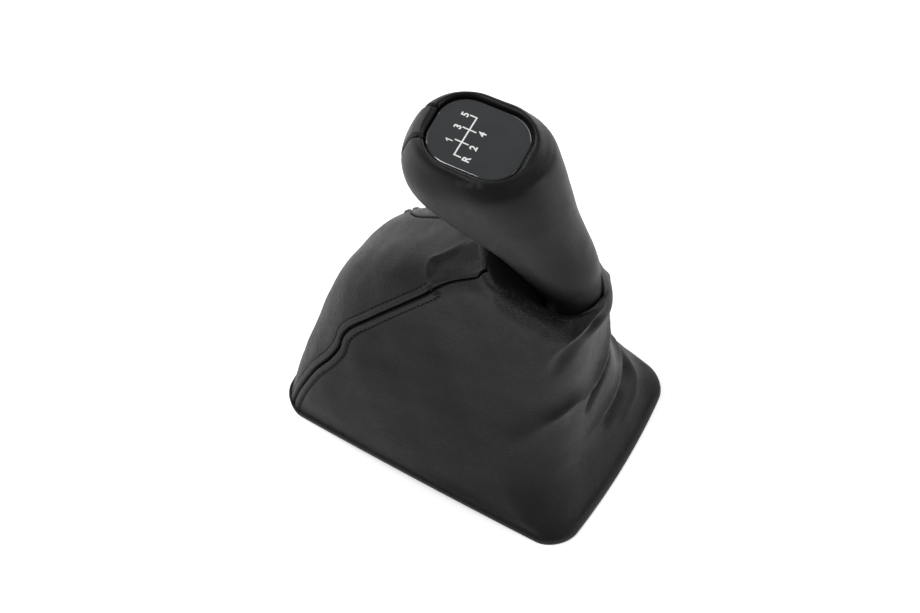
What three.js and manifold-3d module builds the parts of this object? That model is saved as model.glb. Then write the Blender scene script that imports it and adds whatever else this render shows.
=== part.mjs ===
// Gear lever gaiter with its knob: a soft leather bag on an arched plastic frame, tied under a
// leather-covered knob that carries a glossy shift plate.
// Millimetres. +X points to the rear of the car, +Y to its right, +Z up. The origin is on the
// surface the frame stands on, under the middle of the frame.
import * as THREE from 'three';
import { mergeVertices } from 'three/addons/utils/BufferGeometryUtils.js';
import Module from 'manifold-3d';

const wasm = await Module();
wasm.setup();

// Overall sizes
const frameLength = 157.2;      // along X, over the leather, at the middle of the ends
const frameWidth = 114;         // along Y, over the leather, at the middle of the sides
const endBow = 3.6;             // how far the ends bulge past the corners
const sideBow = 5;              // how far the long sides bulge past the corners
const cornerRadius = 12;
const archRise = 6.9;           // the middle of each long side is lifted by this
const archHalfSpan = 64;        // the arch ends here and the frame's ends are flat
const leather = 1;              // thickness of the gaiter's leather
const fit = 0.3;                // clearance between pieces that touch

// Base frame
const framePlate = 1.4;         // thickness of the frame's flat ring
const frameRingWidth = 15;
const frameLipHeight = 5;       // stiffening lip round the inner edge
const frameLipWidth = 1.8;
const hemWidth = 8;             // leather turned under the frame
const tongueSlotLength = 12;    // slots in the end bars for the console's tongues
const tongueSlotWidth = 2.6;
const tongueSlotSpacing = 50;

// Staples that hold the hem along the arched sides
const staplesPerSide = 5;
const staplePitch = 21;
const stapleCrown = 9;
const stapleWire = 0.6;
const stapleInset = 5.5;        // from the frame's outer edge

// Seams between the gaiter's two panels
const weltWidth = 4.2;          // raised band beside the seam, over the turned-in edge
const weltHeight = 0.8;
const weltTopLevel = 8.8;       // hoop at which the bands end
const seamGroove = 0.9;
const crestSeamGap = 1.1;       // the seam opens a little where the leather folds over
const skiving = 0.3;            // share of its thickness the leather loses where it is folded
const weltNarrowing = 0.5;      // share of their width the seam's turnings lose at the neck

// Lever and knob
const neckFoot = { x: 45, z: 115 };        // middle of the knob's lower end
const plateMiddle = { x: 0, z: 190 };      // middle of the top of the knob
const neckDiameter = 35;
const neckRounding = 3;         // the neck's lower end draws in by this
const neckRoundingHeight = 7;
const knobLeather = 1.3;
const stripWidth = 16;          // front strip of the knob's cover
const knobSeamGap = 0.8;        // the strip's seams stand a little open
const boreDiameter = 18;
const boreDepth = 52;
const leverDiameter = 14;
const knobTurn = 6;             // degrees that the head is turned about the upright

// Shift plate
const plateLength = 38.5;
const plateWidth = 33.5;
const plateCorner = 12.5;
const plateThickness = 2.6;
const plateBevel = 0.7;
const plateTilt = 4;            // degrees that its rear edge is lower
const plateGroove = 1.1;        // dark gap between the plate and the leather
const padThickness = 1;
const padMargin = 2;

// Neck collar, a spool under the knob, and the tie round it
const collarRadius = 9.5;
const collarBore = 16;
const collarHeight = 8;
const collarFlange = 13;        // radius of its upper flange
const collarFlangeHeight = 1;
const tieWidth = 3.2;
const tieThickness = 1.2;
const tieHead = 4.6;

// Lever's axis
const leverRun = Math.hypot(plateMiddle.x - neckFoot.x, plateMiddle.z - neckFoot.z);
const leverUp = {
  x: (plateMiddle.x - neckFoot.x) / leverRun,
  z: (plateMiddle.z - neckFoot.z) / leverRun,
};
const leverFront = { x: -leverUp.z, z: leverUp.x };
const leverLean = Math.atan2(leverUp.x, leverUp.z);

// A point given by its distance up the lever from the knob's lower end and to the front of it
function offLever(up, front) {
  return {
    x: neckFoot.x + leverUp.x * up + leverFront.x * front,
    z: neckFoot.z + leverUp.z * up + leverFront.z * front,
  };
}

// A point given by its distance to the rear and above the middle of the tilted shift plate
function offPlate(rear, up) {
  const tilt = THREE.MathUtils.degToRad(plateTilt);
  return {
    x: plateMiddle.x + rear * Math.cos(tilt) + up * Math.sin(tilt),
    z: plateMiddle.z - rear * Math.sin(tilt) + up * Math.cos(tilt),
  };
}

// Point at a share of the way round a rounded rectangle, from the middle of its rear end
function roundedOutline(share, halfLong, halfWide, corner) {
  const runX = halfLong - corner;
  const runY = halfWide - corner;
  const arc = corner * Math.PI / 2;
  const quarter = runX + runY + arc;
  let distance = (share - Math.floor(share)) * 4 * quarter;
  let signX = 1;
  let signY = 1;
  if (distance > 2 * quarter) {
    distance = 4 * quarter - distance;
    signY = -1;
  }
  if (distance > quarter) {
    distance = 2 * quarter - distance;
    signX = -1;
  }
  if (distance < runY) return { x: signX * halfLong, y: signY * distance };
  if (distance > runY + arc) return { x: signX * (quarter - distance), y: signY * halfWide };
  const angle = (distance - runY) / corner;
  return {
    x: signX * (runX + corner * Math.cos(angle)),
    y: signY * (runY + corner * Math.sin(angle)),
  };
}

// A skin is a chain of hoops. A hoop is a rounded rectangle in a tilted plane: its front and
// rear points in the plane of symmetry, its half width, and its corner as a share of the
// roundest possible. frameShare says how much of the frame's bow and arch it follows, seam how
// far round the front corner the panels' seam lies, turn how far it is turned about the upright,
// shift how far it lies to the car's left and sag how far its sides hang below its ends.
const hoopDefaults = { corner: 1, frameShare: 0, seam: 0.75, turn: 0, shift: 0, sag: 0 };
const hoopValues = {
  frontX: (hoop) => hoop.front.x,
  frontZ: (hoop) => hoop.front.z,
  rearX: (hoop) => hoop.rear.x,
  rearZ: (hoop) => hoop.rear.z,
  halfWide: (hoop) => hoop.halfWide,
  corner: (hoop) => hoop.corner ?? hoopDefaults.corner,
  frameShare: (hoop) => hoop.frameShare ?? hoopDefaults.frameShare,
  seam: (hoop) => hoop.seam ?? hoopDefaults.seam,
  turn: (hoop) => hoop.turn ?? hoopDefaults.turn,
  shift: (hoop) => hoop.shift ?? hoopDefaults.shift,
  sag: (hoop) => hoop.sag ?? hoopDefaults.sag,
};

function smoothBetween(before, start, end, after, part) {
  const startSlope = (end - before) / 2;
  const endSlope = (after - start) / 2;
  const part2 = part * part;
  const part3 = part2 * part;
  return start * (2 * part3 - 3 * part2 + 1) + startSlope * (part3 - 2 * part2 + part)
    + end * (3 * part2 - 2 * part3) + endSlope * (part3 - part2);
}

function hoopAt(hoops, level) {
  const last = hoops.length - 1;
  const index = Math.max(0, Math.min(last - 1, Math.floor(level)));
  const hoop = {};
  for (const [name, value] of Object.entries(hoopValues)) {
    const start = value(hoops[index]);
    const end = value(hoops[index + 1]);
    const before = index > 0 ? value(hoops[index - 1]) : start;
    const after = index + 2 <= last ? value(hoops[index + 2]) : end;
    hoop[name] = smoothBetween(before, start, end, after, level - index);
  }
  hoop.halfLong = Math.hypot(hoop.rearX - hoop.frontX, hoop.rearZ - hoop.frontZ) / 2;
  hoop.cornerRadius = hoop.corner * Math.min(hoop.halfLong, hoop.halfWide);
  const arc = hoop.cornerRadius * Math.PI / 2;
  hoop.round = 4 * (hoop.halfLong + hoop.halfWide - 2 * hoop.cornerRadius + arc);
  return hoop;
}

function archLift(x) {
  const reach = Math.min(1, Math.abs(x) / archHalfSpan);
  return archRise * (1 - reach * reach);
}

function hoopPoint(hoop, share) {
  const flat = roundedOutline(share, hoop.halfLong, hoop.halfWide, hoop.cornerRadius);
  const along = flat.x / hoop.halfLong;
  const across = flat.y / hoop.halfWide;
  const bowX = endBow * hoop.frameShare * along * Math.abs(along) * (1 - across * across);
  const bowY = sideBow * hoop.frameShare * across * Math.abs(across) * (1 - along * along);
  const offX = (hoop.rearX - hoop.frontX) / 2 * along + bowX;
  const offY = flat.y + bowY;
  const turn = THREE.MathUtils.degToRad(hoop.turn);
  const x = (hoop.rearX + hoop.frontX) / 2 + offX * Math.cos(turn) - offY * Math.sin(turn);
  const y = offX * Math.sin(turn) + offY * Math.cos(turn);
  const z = (hoop.rearZ + hoop.frontZ) / 2 + (hoop.rearZ - hoop.frontZ) / 2 * along
    - hoop.sag * (1 - along * along);
  return new THREE.Vector3(x, y - hoop.shift, z + archLift(x) * hoop.frameShare);
}

// Outward normal of a skin, from its slopes round the hoop and up the chain
const slopeStep = 0.02;

function skinNormal(hoops, level, share) {
  const low = Math.max(0, level - slopeStep);
  const high = Math.min(hoops.length - 1, level + slopeStep);
  const hoop = hoopAt(hoops, level);
  const round = hoopPoint(hoop, share + slopeStep).sub(hoopPoint(hoop, share - slopeStep));
  const up = hoopPoint(hoopAt(hoops, high), share).sub(hoopPoint(hoopAt(hoops, low), share));
  return round.cross(up).normalize();
}

// Shares round a hoop that suit its corners: steps for half an end, a corner and half a side
const endSteps = 4;
const arcSteps = 5;
const sideSteps = 5;

function outlineShares(hoop) {
  const arc = hoop.cornerRadius * Math.PI / 2;
  const runY = hoop.halfWide - hoop.cornerRadius;
  const runX = hoop.halfLong - hoop.cornerRadius;
  const quarter = [];
  for (let step = 0; step < endSteps; step += 1) quarter.push(runY * step / endSteps);
  for (let step = 0; step < arcSteps; step += 1) quarter.push(runY + arc * step / arcSteps);
  for (let step = 0; step < sideSteps; step += 1) {
    quarter.push(runY + arc + runX * step / sideSteps);
  }
  const first = quarter.map((distance) => distance / hoop.round);
  const second = [0.25, ...first.slice(1).reverse().map((share) => 0.5 - share)];
  const half = [...first, ...second];
  return [...half, ...half.map((share) => share + 0.5)];
}

// The levels of a chain's rows: each hoop says how many rows lead to the next
function rowLevels(hoops) {
  const levels = [];
  hoops.slice(0, -1).forEach((hoop, index) => {
    const rows = hoop.rows ?? 1;
    for (let row = 0; row < rows; row += 1) levels.push(index + row / rows);
  });
  levels.push(hoops.length - 1);
  return levels;
}

// The frame's outline, drawn in by an inset, at a height
const halfLength = frameLength / 2 - endBow;
const halfWidth = frameWidth / 2 - sideBow;
const cornerKeep = 0.6;         // how fast the corner tightens with the inset

function frameHoop(inset, z) {
  return {
    front: { x: -(halfLength - inset), z },
    rear: { x: halfLength - inset, z },
    halfWide: halfWidth - inset,
    corner: (cornerRadius - inset * cornerKeep) / (halfWidth - inset),
    frameShare: 1,
    seam: frameSeam,
  };
}

// The gaiter's outer skin, from the inner edge of the hem to the tie
const neckRadius = neckDiameter / 2;
const neckEnd = neckRadius - neckRounding;
const neckPlay = 0.7;           // between the turned-down leather and the neck
const flangeHeight = 2 * leather + 2 * fit + framePlate;
const tuckDepth = collarFlangeHeight + 3 * fit;

function ring(up, radius) {
  return {
    front: offLever(up, radius),
    rear: offLever(up, -radius),
    halfWide: radius,
    seam: neckSeam,
  };
}

// Stations of the bag above the frame: how far in from the frame's outline and how far above
// its flange
const skirt = { frontIn: 3, frontUp: 16, rearIn: 5, rearUp: 4, sideIn: 3 };
const belly = { frontIn: 7, frontUp: 40, rearIn: 13, rearUp: 20, sideIn: 8 };
const shoulder = { frontIn: 15, frontUp: 68, rearIn: 15, rearUp: 44, sideIn: 16 };

// Stations near the neck: how far up the lever from the knob's lower end, and how far out from
// the neck
const hump = { frontUp: 30, frontOut: 67, rearUp: -39.5, rearOut: -27, sideOut: 11.5 };
const slope = { frontUp: 35, frontOut: 35, rearUp: -19.3, rearOut: -14.5, sideOut: 5.5 };
const nape = { frontUp: 36, frontOut: 13, rearUp: -8.4, rearOut: -2, sideOut: 4 };
const crest = { frontUp: 37.3, frontOut: 6.9, rearUp: -1.5, rearOut: 1.3, sideOut: 3.2 };
const crestLap = { frontUp: 33, frontOut: 4.6, rearUp: 1.5, rearOut: 0.9, sideOut: 1.3 };
const crestWell = { frontUp: 14, frontOut: 1.1, rearUp: 0.9, rearOut: -0.9, sideOut: 0.6 };
const neckWell = { frontUp: 4, frontOut: 0.8, rearUp: 0.2, rearOut: -1.9, sideOut: 0 };
const napeShift = 0.6;          // the leather stands further from the neck on the car's left
const napeSag = 3;
const crestSag = 2.5;

function tuck(up, radius) {
  return { ...ring(up, radius), seam: tuckSeam };
}

function frameStation(station, rest) {
  return {
    front: { x: -halfLength + station.frontIn, z: flangeHeight + station.frontUp },
    rear: { x: halfLength - station.rearIn, z: flangeHeight + station.rearUp },
    halfWide: halfWidth - station.sideIn,
    ...rest,
  };
}

function leverStation(station, rest) {
  return {
    front: offLever(station.frontUp, neckRadius + station.frontOut),
    rear: offLever(station.rearUp, -neckRadius - station.rearOut),
    halfWide: neckRadius + station.sideOut,
    ...rest,
  };
}

// Where the seam lies round the front corner: on the frame, on the bag's side and at the neck
const frameSeam = 0.75;
const sideSeam = 0.72;
const humpSeam = 0.97;
const slopeSeam = 0.9;
const napeSeam = 0.65;
const crestSeam = 0.62;
const tuckSeam = 0.5;
const neckSeam = 0.3;

const bagHoops = [
  frameHoop(hemWidth, 0),
  frameHoop(leather, 0),
  frameHoop(0, leather),
  frameHoop(0, flangeHeight - leather),
  { ...frameHoop(leather, flangeHeight), rows: 2 },
  frameStation(skirt, { corner: 0.4, frameShare: 0.8, seam: sideSeam, rows: 2 }),
  frameStation(belly, { corner: 0.6, frameShare: 0.5, seam: sideSeam, rows: 3 }),
  frameStation(shoulder, { corner: 0.75, frameShare: 0.25, seam: humpSeam, rows: 3 }),
  leverStation(hump, { corner: 0.8, seam: (humpSeam + slopeSeam) / 2, rows: 3 }),
  leverStation(slope, { corner: 0.85, seam: slopeSeam, rows: 3 }),
  leverStation(nape, { corner: 0.9, seam: napeSeam, shift: napeShift, sag: napeSag, rows: 2 }),
  leverStation(crest, { seam: crestSeam, shift: napeShift, sag: crestSag }),
  leverStation(crestLap, { seam: crestSeam, shift: napeShift / 2, sag: crestSag }),
  leverStation(crestWell, { seam: tuckSeam, sag: crestSag }),
  leverStation(neckWell, { seam: tuckSeam }),
  tuck(-neckPlay / 2, neckEnd + neckPlay),
  tuck(-tuckDepth, neckEnd - fit),
  tuck(-tuckDepth - fit, collarRadius + leather + fit),
  tuck(-tuckDepth - leather - fit, collarRadius + fit),
  tuck(-collarHeight, collarRadius + fit),
];

// Long folds of the leather, as ridges and troughs on the skin. Each is a path of points, given
// by share of the hoop and level, with its height and half width.
const folds = [
  { path: [[0.02, 10.6], [0.95, 9.7], [0.885, 8.9], [0.87, 8.4]], height: 1.8, reach: 3.5 },
  { path: [[0.99, 9.8], [0.93, 9.2], [0.9, 8.3]], height: -1.8, reach: 4 },
  { path: [[0.04, 9.4], [0.02, 8.0], [0.985, 7.6], [0.95, 7.4]], height: 2, reach: 4.5 },
  { path: [[0.06, 8.6], [0.035, 7.2], [0.99, 6.8]], height: -2, reach: 4.5 },
  { path: [[0.1, 8], [0.06, 6.6], [0.01, 6.2]], height: 2, reach: 4.5 },
  { path: [[0.12, 7], [0.08, 6], [0.04, 5.7]], height: -1.5, reach: 4.5 },
  { path: [[0.14, 6.8], [0.09, 5.5], [0.055, 5.3]], height: 1.5, reach: 4 },
  { path: [[0.1, 9.9], [0.17, 8.6], [0.19, 7.4]], height: 1.8, reach: 4 },
  { path: [[0.07, 9.3], [0.12, 8.3], [0.15, 7.3]], height: -1.6, reach: 4 },
  { path: [[0.528, 9.9], [0.576, 9.4], [0.597, 9], [0.625, 8.7]], height: 1.1, reach: 3 },
  { path: [[0.9, 10.6], [0.8, 10.6], [0.7, 10.5]], height: -1.6, reach: 4 },
];

for (const fold of folds) {
  fold.points = fold.path.map(([share, level]) => hoopPoint(hoopAt(bagHoops, level), share));
  fold.lines = fold.points.slice(1).map((end, index) => new THREE.Line3(fold.points[index], end));
}

function foldHeight(point) {
  const nearest = new THREE.Vector3();
  let height = 0;
  for (const fold of folds) {
    const gaps = fold.lines.map((line) => {
      line.closestPointToPoint(point, true, nearest);
      return nearest.distanceTo(point);
    });
    const off = Math.min(...gaps) / fold.reach;
    height += fold.height * Math.exp(-off * off);
  }
  return height;
}

// Geometry helpers
function meshGeometry(points, faces) {
  const geometry = new THREE.BufferGeometry();
  const places = points.flatMap((point) => [point.x, point.y, point.z]);
  geometry.setAttribute('position', new THREE.Float32BufferAttribute(places, 3));
  geometry.setIndex(faces.flat());
  return turnedOut(geometry);
}

// Turns the faces of a closed mesh outward where they point in
function turnedOut(geometry) {
  const place = geometry.getAttribute('position');
  const index = geometry.index.array;
  const [a, b, c] = [new THREE.Vector3(), new THREE.Vector3(), new THREE.Vector3()];
  let volume = 0;
  for (let face = 0; face < index.length; face += 3) {
    a.fromBufferAttribute(place, index[face]);
    b.fromBufferAttribute(place, index[face + 1]);
    c.fromBufferAttribute(place, index[face + 2]);
    volume += a.dot(b.cross(c));
  }
  if (volume < 0) {
    for (let face = 0; face < index.length; face += 3) {
      [index[face], index[face + 1]] = [index[face + 1], index[face]];
    }
  }
  geometry.computeVertexNormals();
  return geometry;
}

function quad(a, b, c, d) {
  return [a, b, c, a, c, d];
}

// Closed solid between an outer and an inner sheet of points, rows by columns
function sheetSolid(outer, inner) {
  const rows = outer.length;
  const columns = outer[0].length;
  const back = rows * columns;
  const at = (row, column) => row * columns + column;
  const faces = [];
  for (let row = 0; row < rows - 1; row += 1) {
    for (let column = 0; column < columns - 1; column += 1) {
      const [a, b] = [at(row, column), at(row, column + 1)];
      const [d, c] = [at(row + 1, column), at(row + 1, column + 1)];
      faces.push(quad(a, b, c, d));
      faces.push(quad(a + back, d + back, c + back, b + back));
    }
  }
  for (let row = 0; row < rows - 1; row += 1) {
    const [low, high] = [at(row, 0), at(row + 1, 0)];
    const [lowEnd, highEnd] = [at(row, columns - 1), at(row + 1, columns - 1)];
    faces.push(quad(low, high, high + back, low + back));
    faces.push(quad(lowEnd, lowEnd + back, highEnd + back, highEnd));
  }
  for (let column = 0; column < columns - 1; column += 1) {
    const [left, right] = [at(0, column), at(0, column + 1)];
    const [leftTop, rightTop] = [at(rows - 1, column), at(rows - 1, column + 1)];
    faces.push(quad(left, left + back, right + back, right));
    faces.push(quad(leftTop, rightTop, rightTop + back, leftTop + back));
  }
  return meshGeometry([...outer.flat(), ...inner.flat()], faces);
}

// Closed solid through closed rows of points, with a cap at each end or the ends joined
function rowSolid(rows, capped) {
  const around = rows[0].length;
  const points = rows.flat();
  const faces = [];
  const gaps = capped ? rows.length - 1 : rows.length;
  for (let row = 0; row < gaps; row += 1) {
    const next = (row + 1) % rows.length;
    for (let column = 0; column < around; column += 1) {
      const beside = (column + 1) % around;
      faces.push(quad(row * around + column, row * around + beside, next * around + beside,
        next * around + column));
    }
  }
  if (capped) {
    const lastRow = (rows.length - 1) * around;
    const [bottom, top] = [points.length, points.length + 1];
    points.push(middleOf(rows[0]), middleOf(rows[rows.length - 1]));
    for (let column = 0; column < around; column += 1) {
      const beside = (column + 1) % around;
      faces.push([bottom, beside, column]);
      faces.push([top, lastRow + column, lastRow + beside]);
    }
  }
  return meshGeometry(points, faces);
}

function middleOf(row) {
  const middle = new THREE.Vector3();
  for (const point of row) middle.add(point);
  return middle.divideScalar(row.length);
}

function toSolid(geometry) {
  const bare = geometry.clone();
  bare.deleteAttribute('normal');
  bare.deleteAttribute('uv');
  const merged = mergeVertices(bare, 1e-4);
  return new wasm.Manifold(new wasm.Mesh({
    numProp: 3,
    vertProperties: new Float32Array(merged.getAttribute('position').array),
    triVerts: new Uint32Array(merged.index.array),
  }));
}

function fromSolid(solid) {
  const mesh = solid.getMesh();
  const geometry = new THREE.BufferGeometry();
  geometry.setAttribute('position', new THREE.BufferAttribute(mesh.vertProperties, 3));
  geometry.setIndex(new THREE.BufferAttribute(mesh.triVerts, 1));
  geometry.computeVertexNormals();
  return geometry;
}

function cutBy(geometry, cutters) {
  let solid = toSolid(geometry);
  for (const cutter of cutters) solid = solid.subtract(toSolid(cutter));
  return fromSolid(solid);
}

// A closed ring of revolution about +Y from a profile of radius and height pairs
const roundSegments = 28;

function revolved(profile) {
  const points = [...profile, profile[0]].map(([radius, up]) => new THREE.Vector2(radius, up));
  return turnedOut(mergeVertices(bareLathe(points), 1e-4));
}

function bareLathe(points) {
  const lathe = new THREE.LatheGeometry(points, roundSegments);
  lathe.deleteAttribute('normal');
  lathe.deleteAttribute('uv');
  return lathe;
}

// One panel of the gaiter: from one seam to the other, given as shares of each hoop
const seamGap = fit / 2;
const weltOffsets = [seamGap, 1.2, weltWidth - 0.8, weltWidth + 1];

function weltRelief(distance, level) {
  if (distance < 1) return -seamGroove;
  return distance < weltWidth && level < weltTopLevel ? weltHeight : 0;
}

// Shares of the frame's outline that lie on a panel, as parts of the way from seam to seam
function panelParts(sideOf) {
  const hoop = hoopAt(bagHoops, 2);
  const [from, to] = sideOf(hoop);
  const edge = weltOffsets.at(-1) / hoop.round;
  const clear = edge + 1.5 / hoop.round;
  return outlineShares(hoop)
    .flatMap((share) => [share, share + 1])
    .filter((share) => share > from + clear && share < to - clear)
    .sort((one, other) => one - other)
    .map((share) => (share - from - edge) / (to - from - 2 * edge));
}

function panelSolid(sideOf) {
  const outer = [];
  const inner = [];
  const parts = panelParts(sideOf);
  for (const level of rowLevels(bagHoops)) {
    const hoop = hoopAt(bagHoops, level);
    const [from, to] = sideOf(hoop);
    const atNeck = THREE.MathUtils.smoothstep(level, 9, 10.5);
    const open = crestSeamGap * atNeck;
    const reach = 1 - weltNarrowing * atNeck;
    const welts = weltOffsets.map((offset) => (offset * reach + open) / hoop.round);
    const edge = welts.at(-1);
    const shares = [
      ...welts.map((welt) => from + welt),
      ...parts.map((part) => from + edge + (to - from - 2 * edge) * part),
      ...welts.map((welt) => to - welt).reverse(),
    ];
    const relief = shares.map((share, column) => {
      const place = Math.min(column, shares.length - 1 - column);
      const fade = bagShare(level);
      if (fade === 0) return 0;
      const welt = place < weltOffsets.length ? weltRelief(weltOffsets[place], level) : 0;
      return (welt + foldHeight(hoopPoint(hoop, share))) * fade;
    });
    const normals = shares.map((share) => skinNormal(bagHoops, level, share));
    const points = shares.map((share, column) => hoopPoint(hoop, share)
      .addScaledVector(normals[column], relief[column]));
    outer.push(points);
    inner.push(points.map((point, column) => point.clone()
      .addScaledVector(normals[column], -leather * (1 - skiving * atNeck))));
  }
  return sheetSolid(outer, inner);
}

// The seams' relief and the folds fade out towards the frame and the neck
function bagShare(level) {
  const { smoothstep } = THREE.MathUtils;
  return smoothstep(level, 4, 5.2) * (1 - smoothstep(level, 9.4, 10.7));
}

// Share of the hoop, from the middle of the front, at which a seam lies
function seamShare(hoop) {
  const arc = hoop.cornerRadius * Math.PI / 2;
  return (hoop.halfWide - hoop.cornerRadius + arc * hoop.seam) / hoop.round;
}

const frontPanel = panelSolid((hoop) => [0.5 - seamShare(hoop), 0.5 + seamShare(hoop)]);
let sidePanel = panelSolid((hoop) => [0.5 + seamShare(hoop), 1.5 - seamShare(hoop)]);

// Base frame: a flat ring with a lip round its inner edge
function frameRow(inset, z) {
  const hoop = hoopAt([frameHoop(inset, z), frameHoop(inset, z)], 0);
  return outlineShares(hoop).map((share) => hoopPoint(hoop, share));
}

const frameEdge = leather + 2 * fit;
const frameBottom = leather + fit;
const frameInner = frameEdge + frameRingWidth;
const frameRing = rowSolid([
  frameRow(frameEdge, frameBottom),
  frameRow(frameEdge, frameBottom + framePlate),
  frameRow(frameInner - frameLipWidth, frameBottom + framePlate),
  frameRow(frameInner - frameLipWidth, frameBottom + frameLipHeight),
  frameRow(frameInner, frameBottom + frameLipHeight),
  frameRow(frameInner, frameBottom),
], false);

const frameCutters = [];
for (const end of [-1, 1]) {
  for (const side of [-1, 1]) {
    const slot = new THREE.BoxGeometry(tongueSlotWidth, tongueSlotLength, 4 * framePlate);
    const slotX = halfLength + endBow - hemWidth - 2 * tongueSlotWidth / 2 - 1;
    slot.translate(end * slotX, side * tongueSlotSpacing / 2, frameBottom);
    frameCutters.push(slot);
  }
}

// Staples: each a crown under the hem and two legs up through hem and frame
const stapleRoom = stapleWire + 2 * fit;
const stapleLegHeight = fit + 2 * leather + fit + framePlate - leather;

function stapleShape() {
  const half = stapleCrown / 2;
  const top = stapleLegHeight;
  const bottom = -stapleWire;
  const shape = new THREE.Shape();
  shape.moveTo(-half, bottom);
  shape.lineTo(half, bottom);
  shape.lineTo(half, top);
  shape.lineTo(half - stapleWire, top);
  shape.lineTo(half - stapleWire, 0);
  shape.lineTo(-half + stapleWire, 0);
  shape.lineTo(-half + stapleWire, top);
  shape.lineTo(-half, top);
  shape.closePath();
  return shape;
}

// Place of a staple: under the hem, along the frame's side, level with the arch there
function staplePlace(x, side) {
  const half = stapleCrown / 2;
  const sideAt = (along) => {
    const share = along / halfLength;
    return side * (halfWidth - stapleInset + sideBow * (1 - share * share));
  };
  const start = new THREE.Vector3(x - half, sideAt(x - half), archLift(x - half));
  const end = new THREE.Vector3(x + half, sideAt(x + half), archLift(x + half));
  const along = end.clone().sub(start).normalize();
  const across = new THREE.Vector3(0, 0, 1).cross(along).normalize();
  const up = along.clone().cross(across);
  const place = new THREE.Matrix4().makeBasis(along, up, across.clone().negate());
  const middle = start.add(end).multiplyScalar(0.5).addScaledVector(up, -fit);
  middle.z += (archLift(x) - middle.z - fit) * 0.5;
  return place.setPosition(middle);
}

const staples = [];
const hemCutters = [];
for (const side of [-1, 1]) {
  for (let count = 0; count < staplesPerSide; count += 1) {
    const x = (count - (staplesPerSide - 1) / 2) * staplePitch;
    const place = staplePlace(x, side);
    const wire = new THREE.ExtrudeGeometry(stapleShape(), { depth: stapleWire, bevelEnabled: false });
    wire.translate(0, 0, -stapleWire / 2);
    wire.applyMatrix4(place);
    staples.push(wire);
    for (const leg of [-1, 1]) {
      const hole = new THREE.BoxGeometry(stapleRoom, 2 * stapleLegHeight, stapleRoom);
      hole.translate(leg * (stapleCrown - stapleWire) / 2, stapleLegHeight / 2, 0);
      hole.applyMatrix4(place);
      hemCutters.push(hole);
    }
  }
}
sidePanel = cutBy(sidePanel, hemCutters);
const baseFrame = cutBy(frameRing, [...frameCutters, ...hemCutters]);

// The knob's outer skin, from its lower end to the bottom of the groove round the plate
const grooveLong = plateLength / 2 + plateGroove;
const grooveWide = plateWidth / 2 + plateGroove;
const grooveCorner = (plateCorner + plateGroove) / grooveWide;
const grooveDepth = plateThickness + padThickness + fit;

// Stations of the grip: shares of the lever's length and how far out from the neck
const gripLow = { front: 0.256, frontOut: 0.5, rear: 0.204, rearOut: 1.4, sideOut: -0.5, turn: 1 };
const gripMiddle = { front: 0.46, frontOut: 5, rear: 0.41, rearOut: 2.3, sideOut: 0.5, turn: 3 };
const gripHigh = { front: 0.672, frontOut: 12.5, rear: 0.57, rearOut: 4.3, sideOut: 3, turn: 5 };

// Stations of the head: how far out from the groove round the plate and how far above the plate
const headLow = { frontOut: 3.2, frontUp: -29.7, rearOut: 13.7, rearUp: -7.6, sideOut: 5.2 };
const headSide = { frontOut: 9, frontUp: -18.1, rearOut: 9.3, rearUp: -0.9, sideOut: 6.2 };
const headEdge = { frontOut: 6.4, frontUp: -3.5, rearOut: 5.2, rearUp: 0.6, sideOut: 3.6 };
const headTop = { frontOut: 2.2, frontUp: 1.6, rearOut: 2.2, rearUp: 1.6, sideOut: 1.6 };
const headRim = { frontOut: 0.3, frontUp: 0.7, rearOut: 0.3, rearUp: 0.7, sideOut: 0.2 };

function gripHoop(station) {
  return {
    front: offLever(station.front * leverRun, neckRadius + station.frontOut),
    rear: offLever(station.rear * leverRun, -neckRadius - station.rearOut),
    halfWide: neckRadius + station.sideOut,
    turn: station.turn,
    rows: 2,
  };
}

function headHoop(station, rest) {
  return {
    front: offPlate(-grooveLong - station.frontOut, station.frontUp),
    rear: offPlate(grooveLong + station.rearOut, station.rearUp),
    halfWide: grooveWide + station.sideOut,
    turn: knobTurn,
    ...rest,
  };
}

const grooveFloor = fit - grooveDepth;
const knobHoops = [
  ring(0, neckEnd),
  ring(neckRounding / 2, neckRadius - neckRounding / 3),
  { ...ring(neckRoundingHeight, neckRadius), rows: 2 },
  gripHoop(gripLow),
  gripHoop(gripMiddle),
  gripHoop(gripHigh),
  headHoop(headLow, { rows: 2 }),
  headHoop(headSide, { rows: 2 }),
  headHoop(headEdge, { rows: 2 }),
  headHoop(headTop, { corner: 0.9 }),
  headHoop(headRim, { corner: grooveCorner }),
  {
    front: offPlate(-grooveLong, grooveFloor),
    rear: offPlate(grooveLong, grooveFloor),
    halfWide: grooveWide, corner: grooveCorner, turn: knobTurn,
  },
];

function knobSheet(sideOf, columns) {
  const outer = [];
  const inner = [];
  for (const level of rowLevels(knobHoops)) {
    const hoop = hoopAt(knobHoops, level);
    const gap = knobSeamGap / 2 / hoop.round;
    const [from, to] = sideOf(hoop);
    const outerRow = [];
    const innerRow = [];
    for (let column = 0; column <= columns; column += 1) {
      const share = from + gap + (to - from - 2 * gap) * column / columns;
      const point = hoopPoint(hoop, share);
      const normal = skinNormal(knobHoops, level, share);
      outerRow.push(point);
      innerRow.push(point.clone().addScaledVector(normal, -knobLeather));
    }
    outer.push(outerRow);
    inner.push(innerRow);
  }
  return sheetSolid(outer, inner);
}

const stripShare = (hoop) => stripWidth / 2 / hoop.round;
const knobCover = knobSheet((hoop) => [0.5 + stripShare(hoop), 1.5 - stripShare(hoop)], 24);
const knobStrip = knobSheet((hoop) => [0.5 - stripShare(hoop), 0.5 + stripShare(hoop)], 5);

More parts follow.
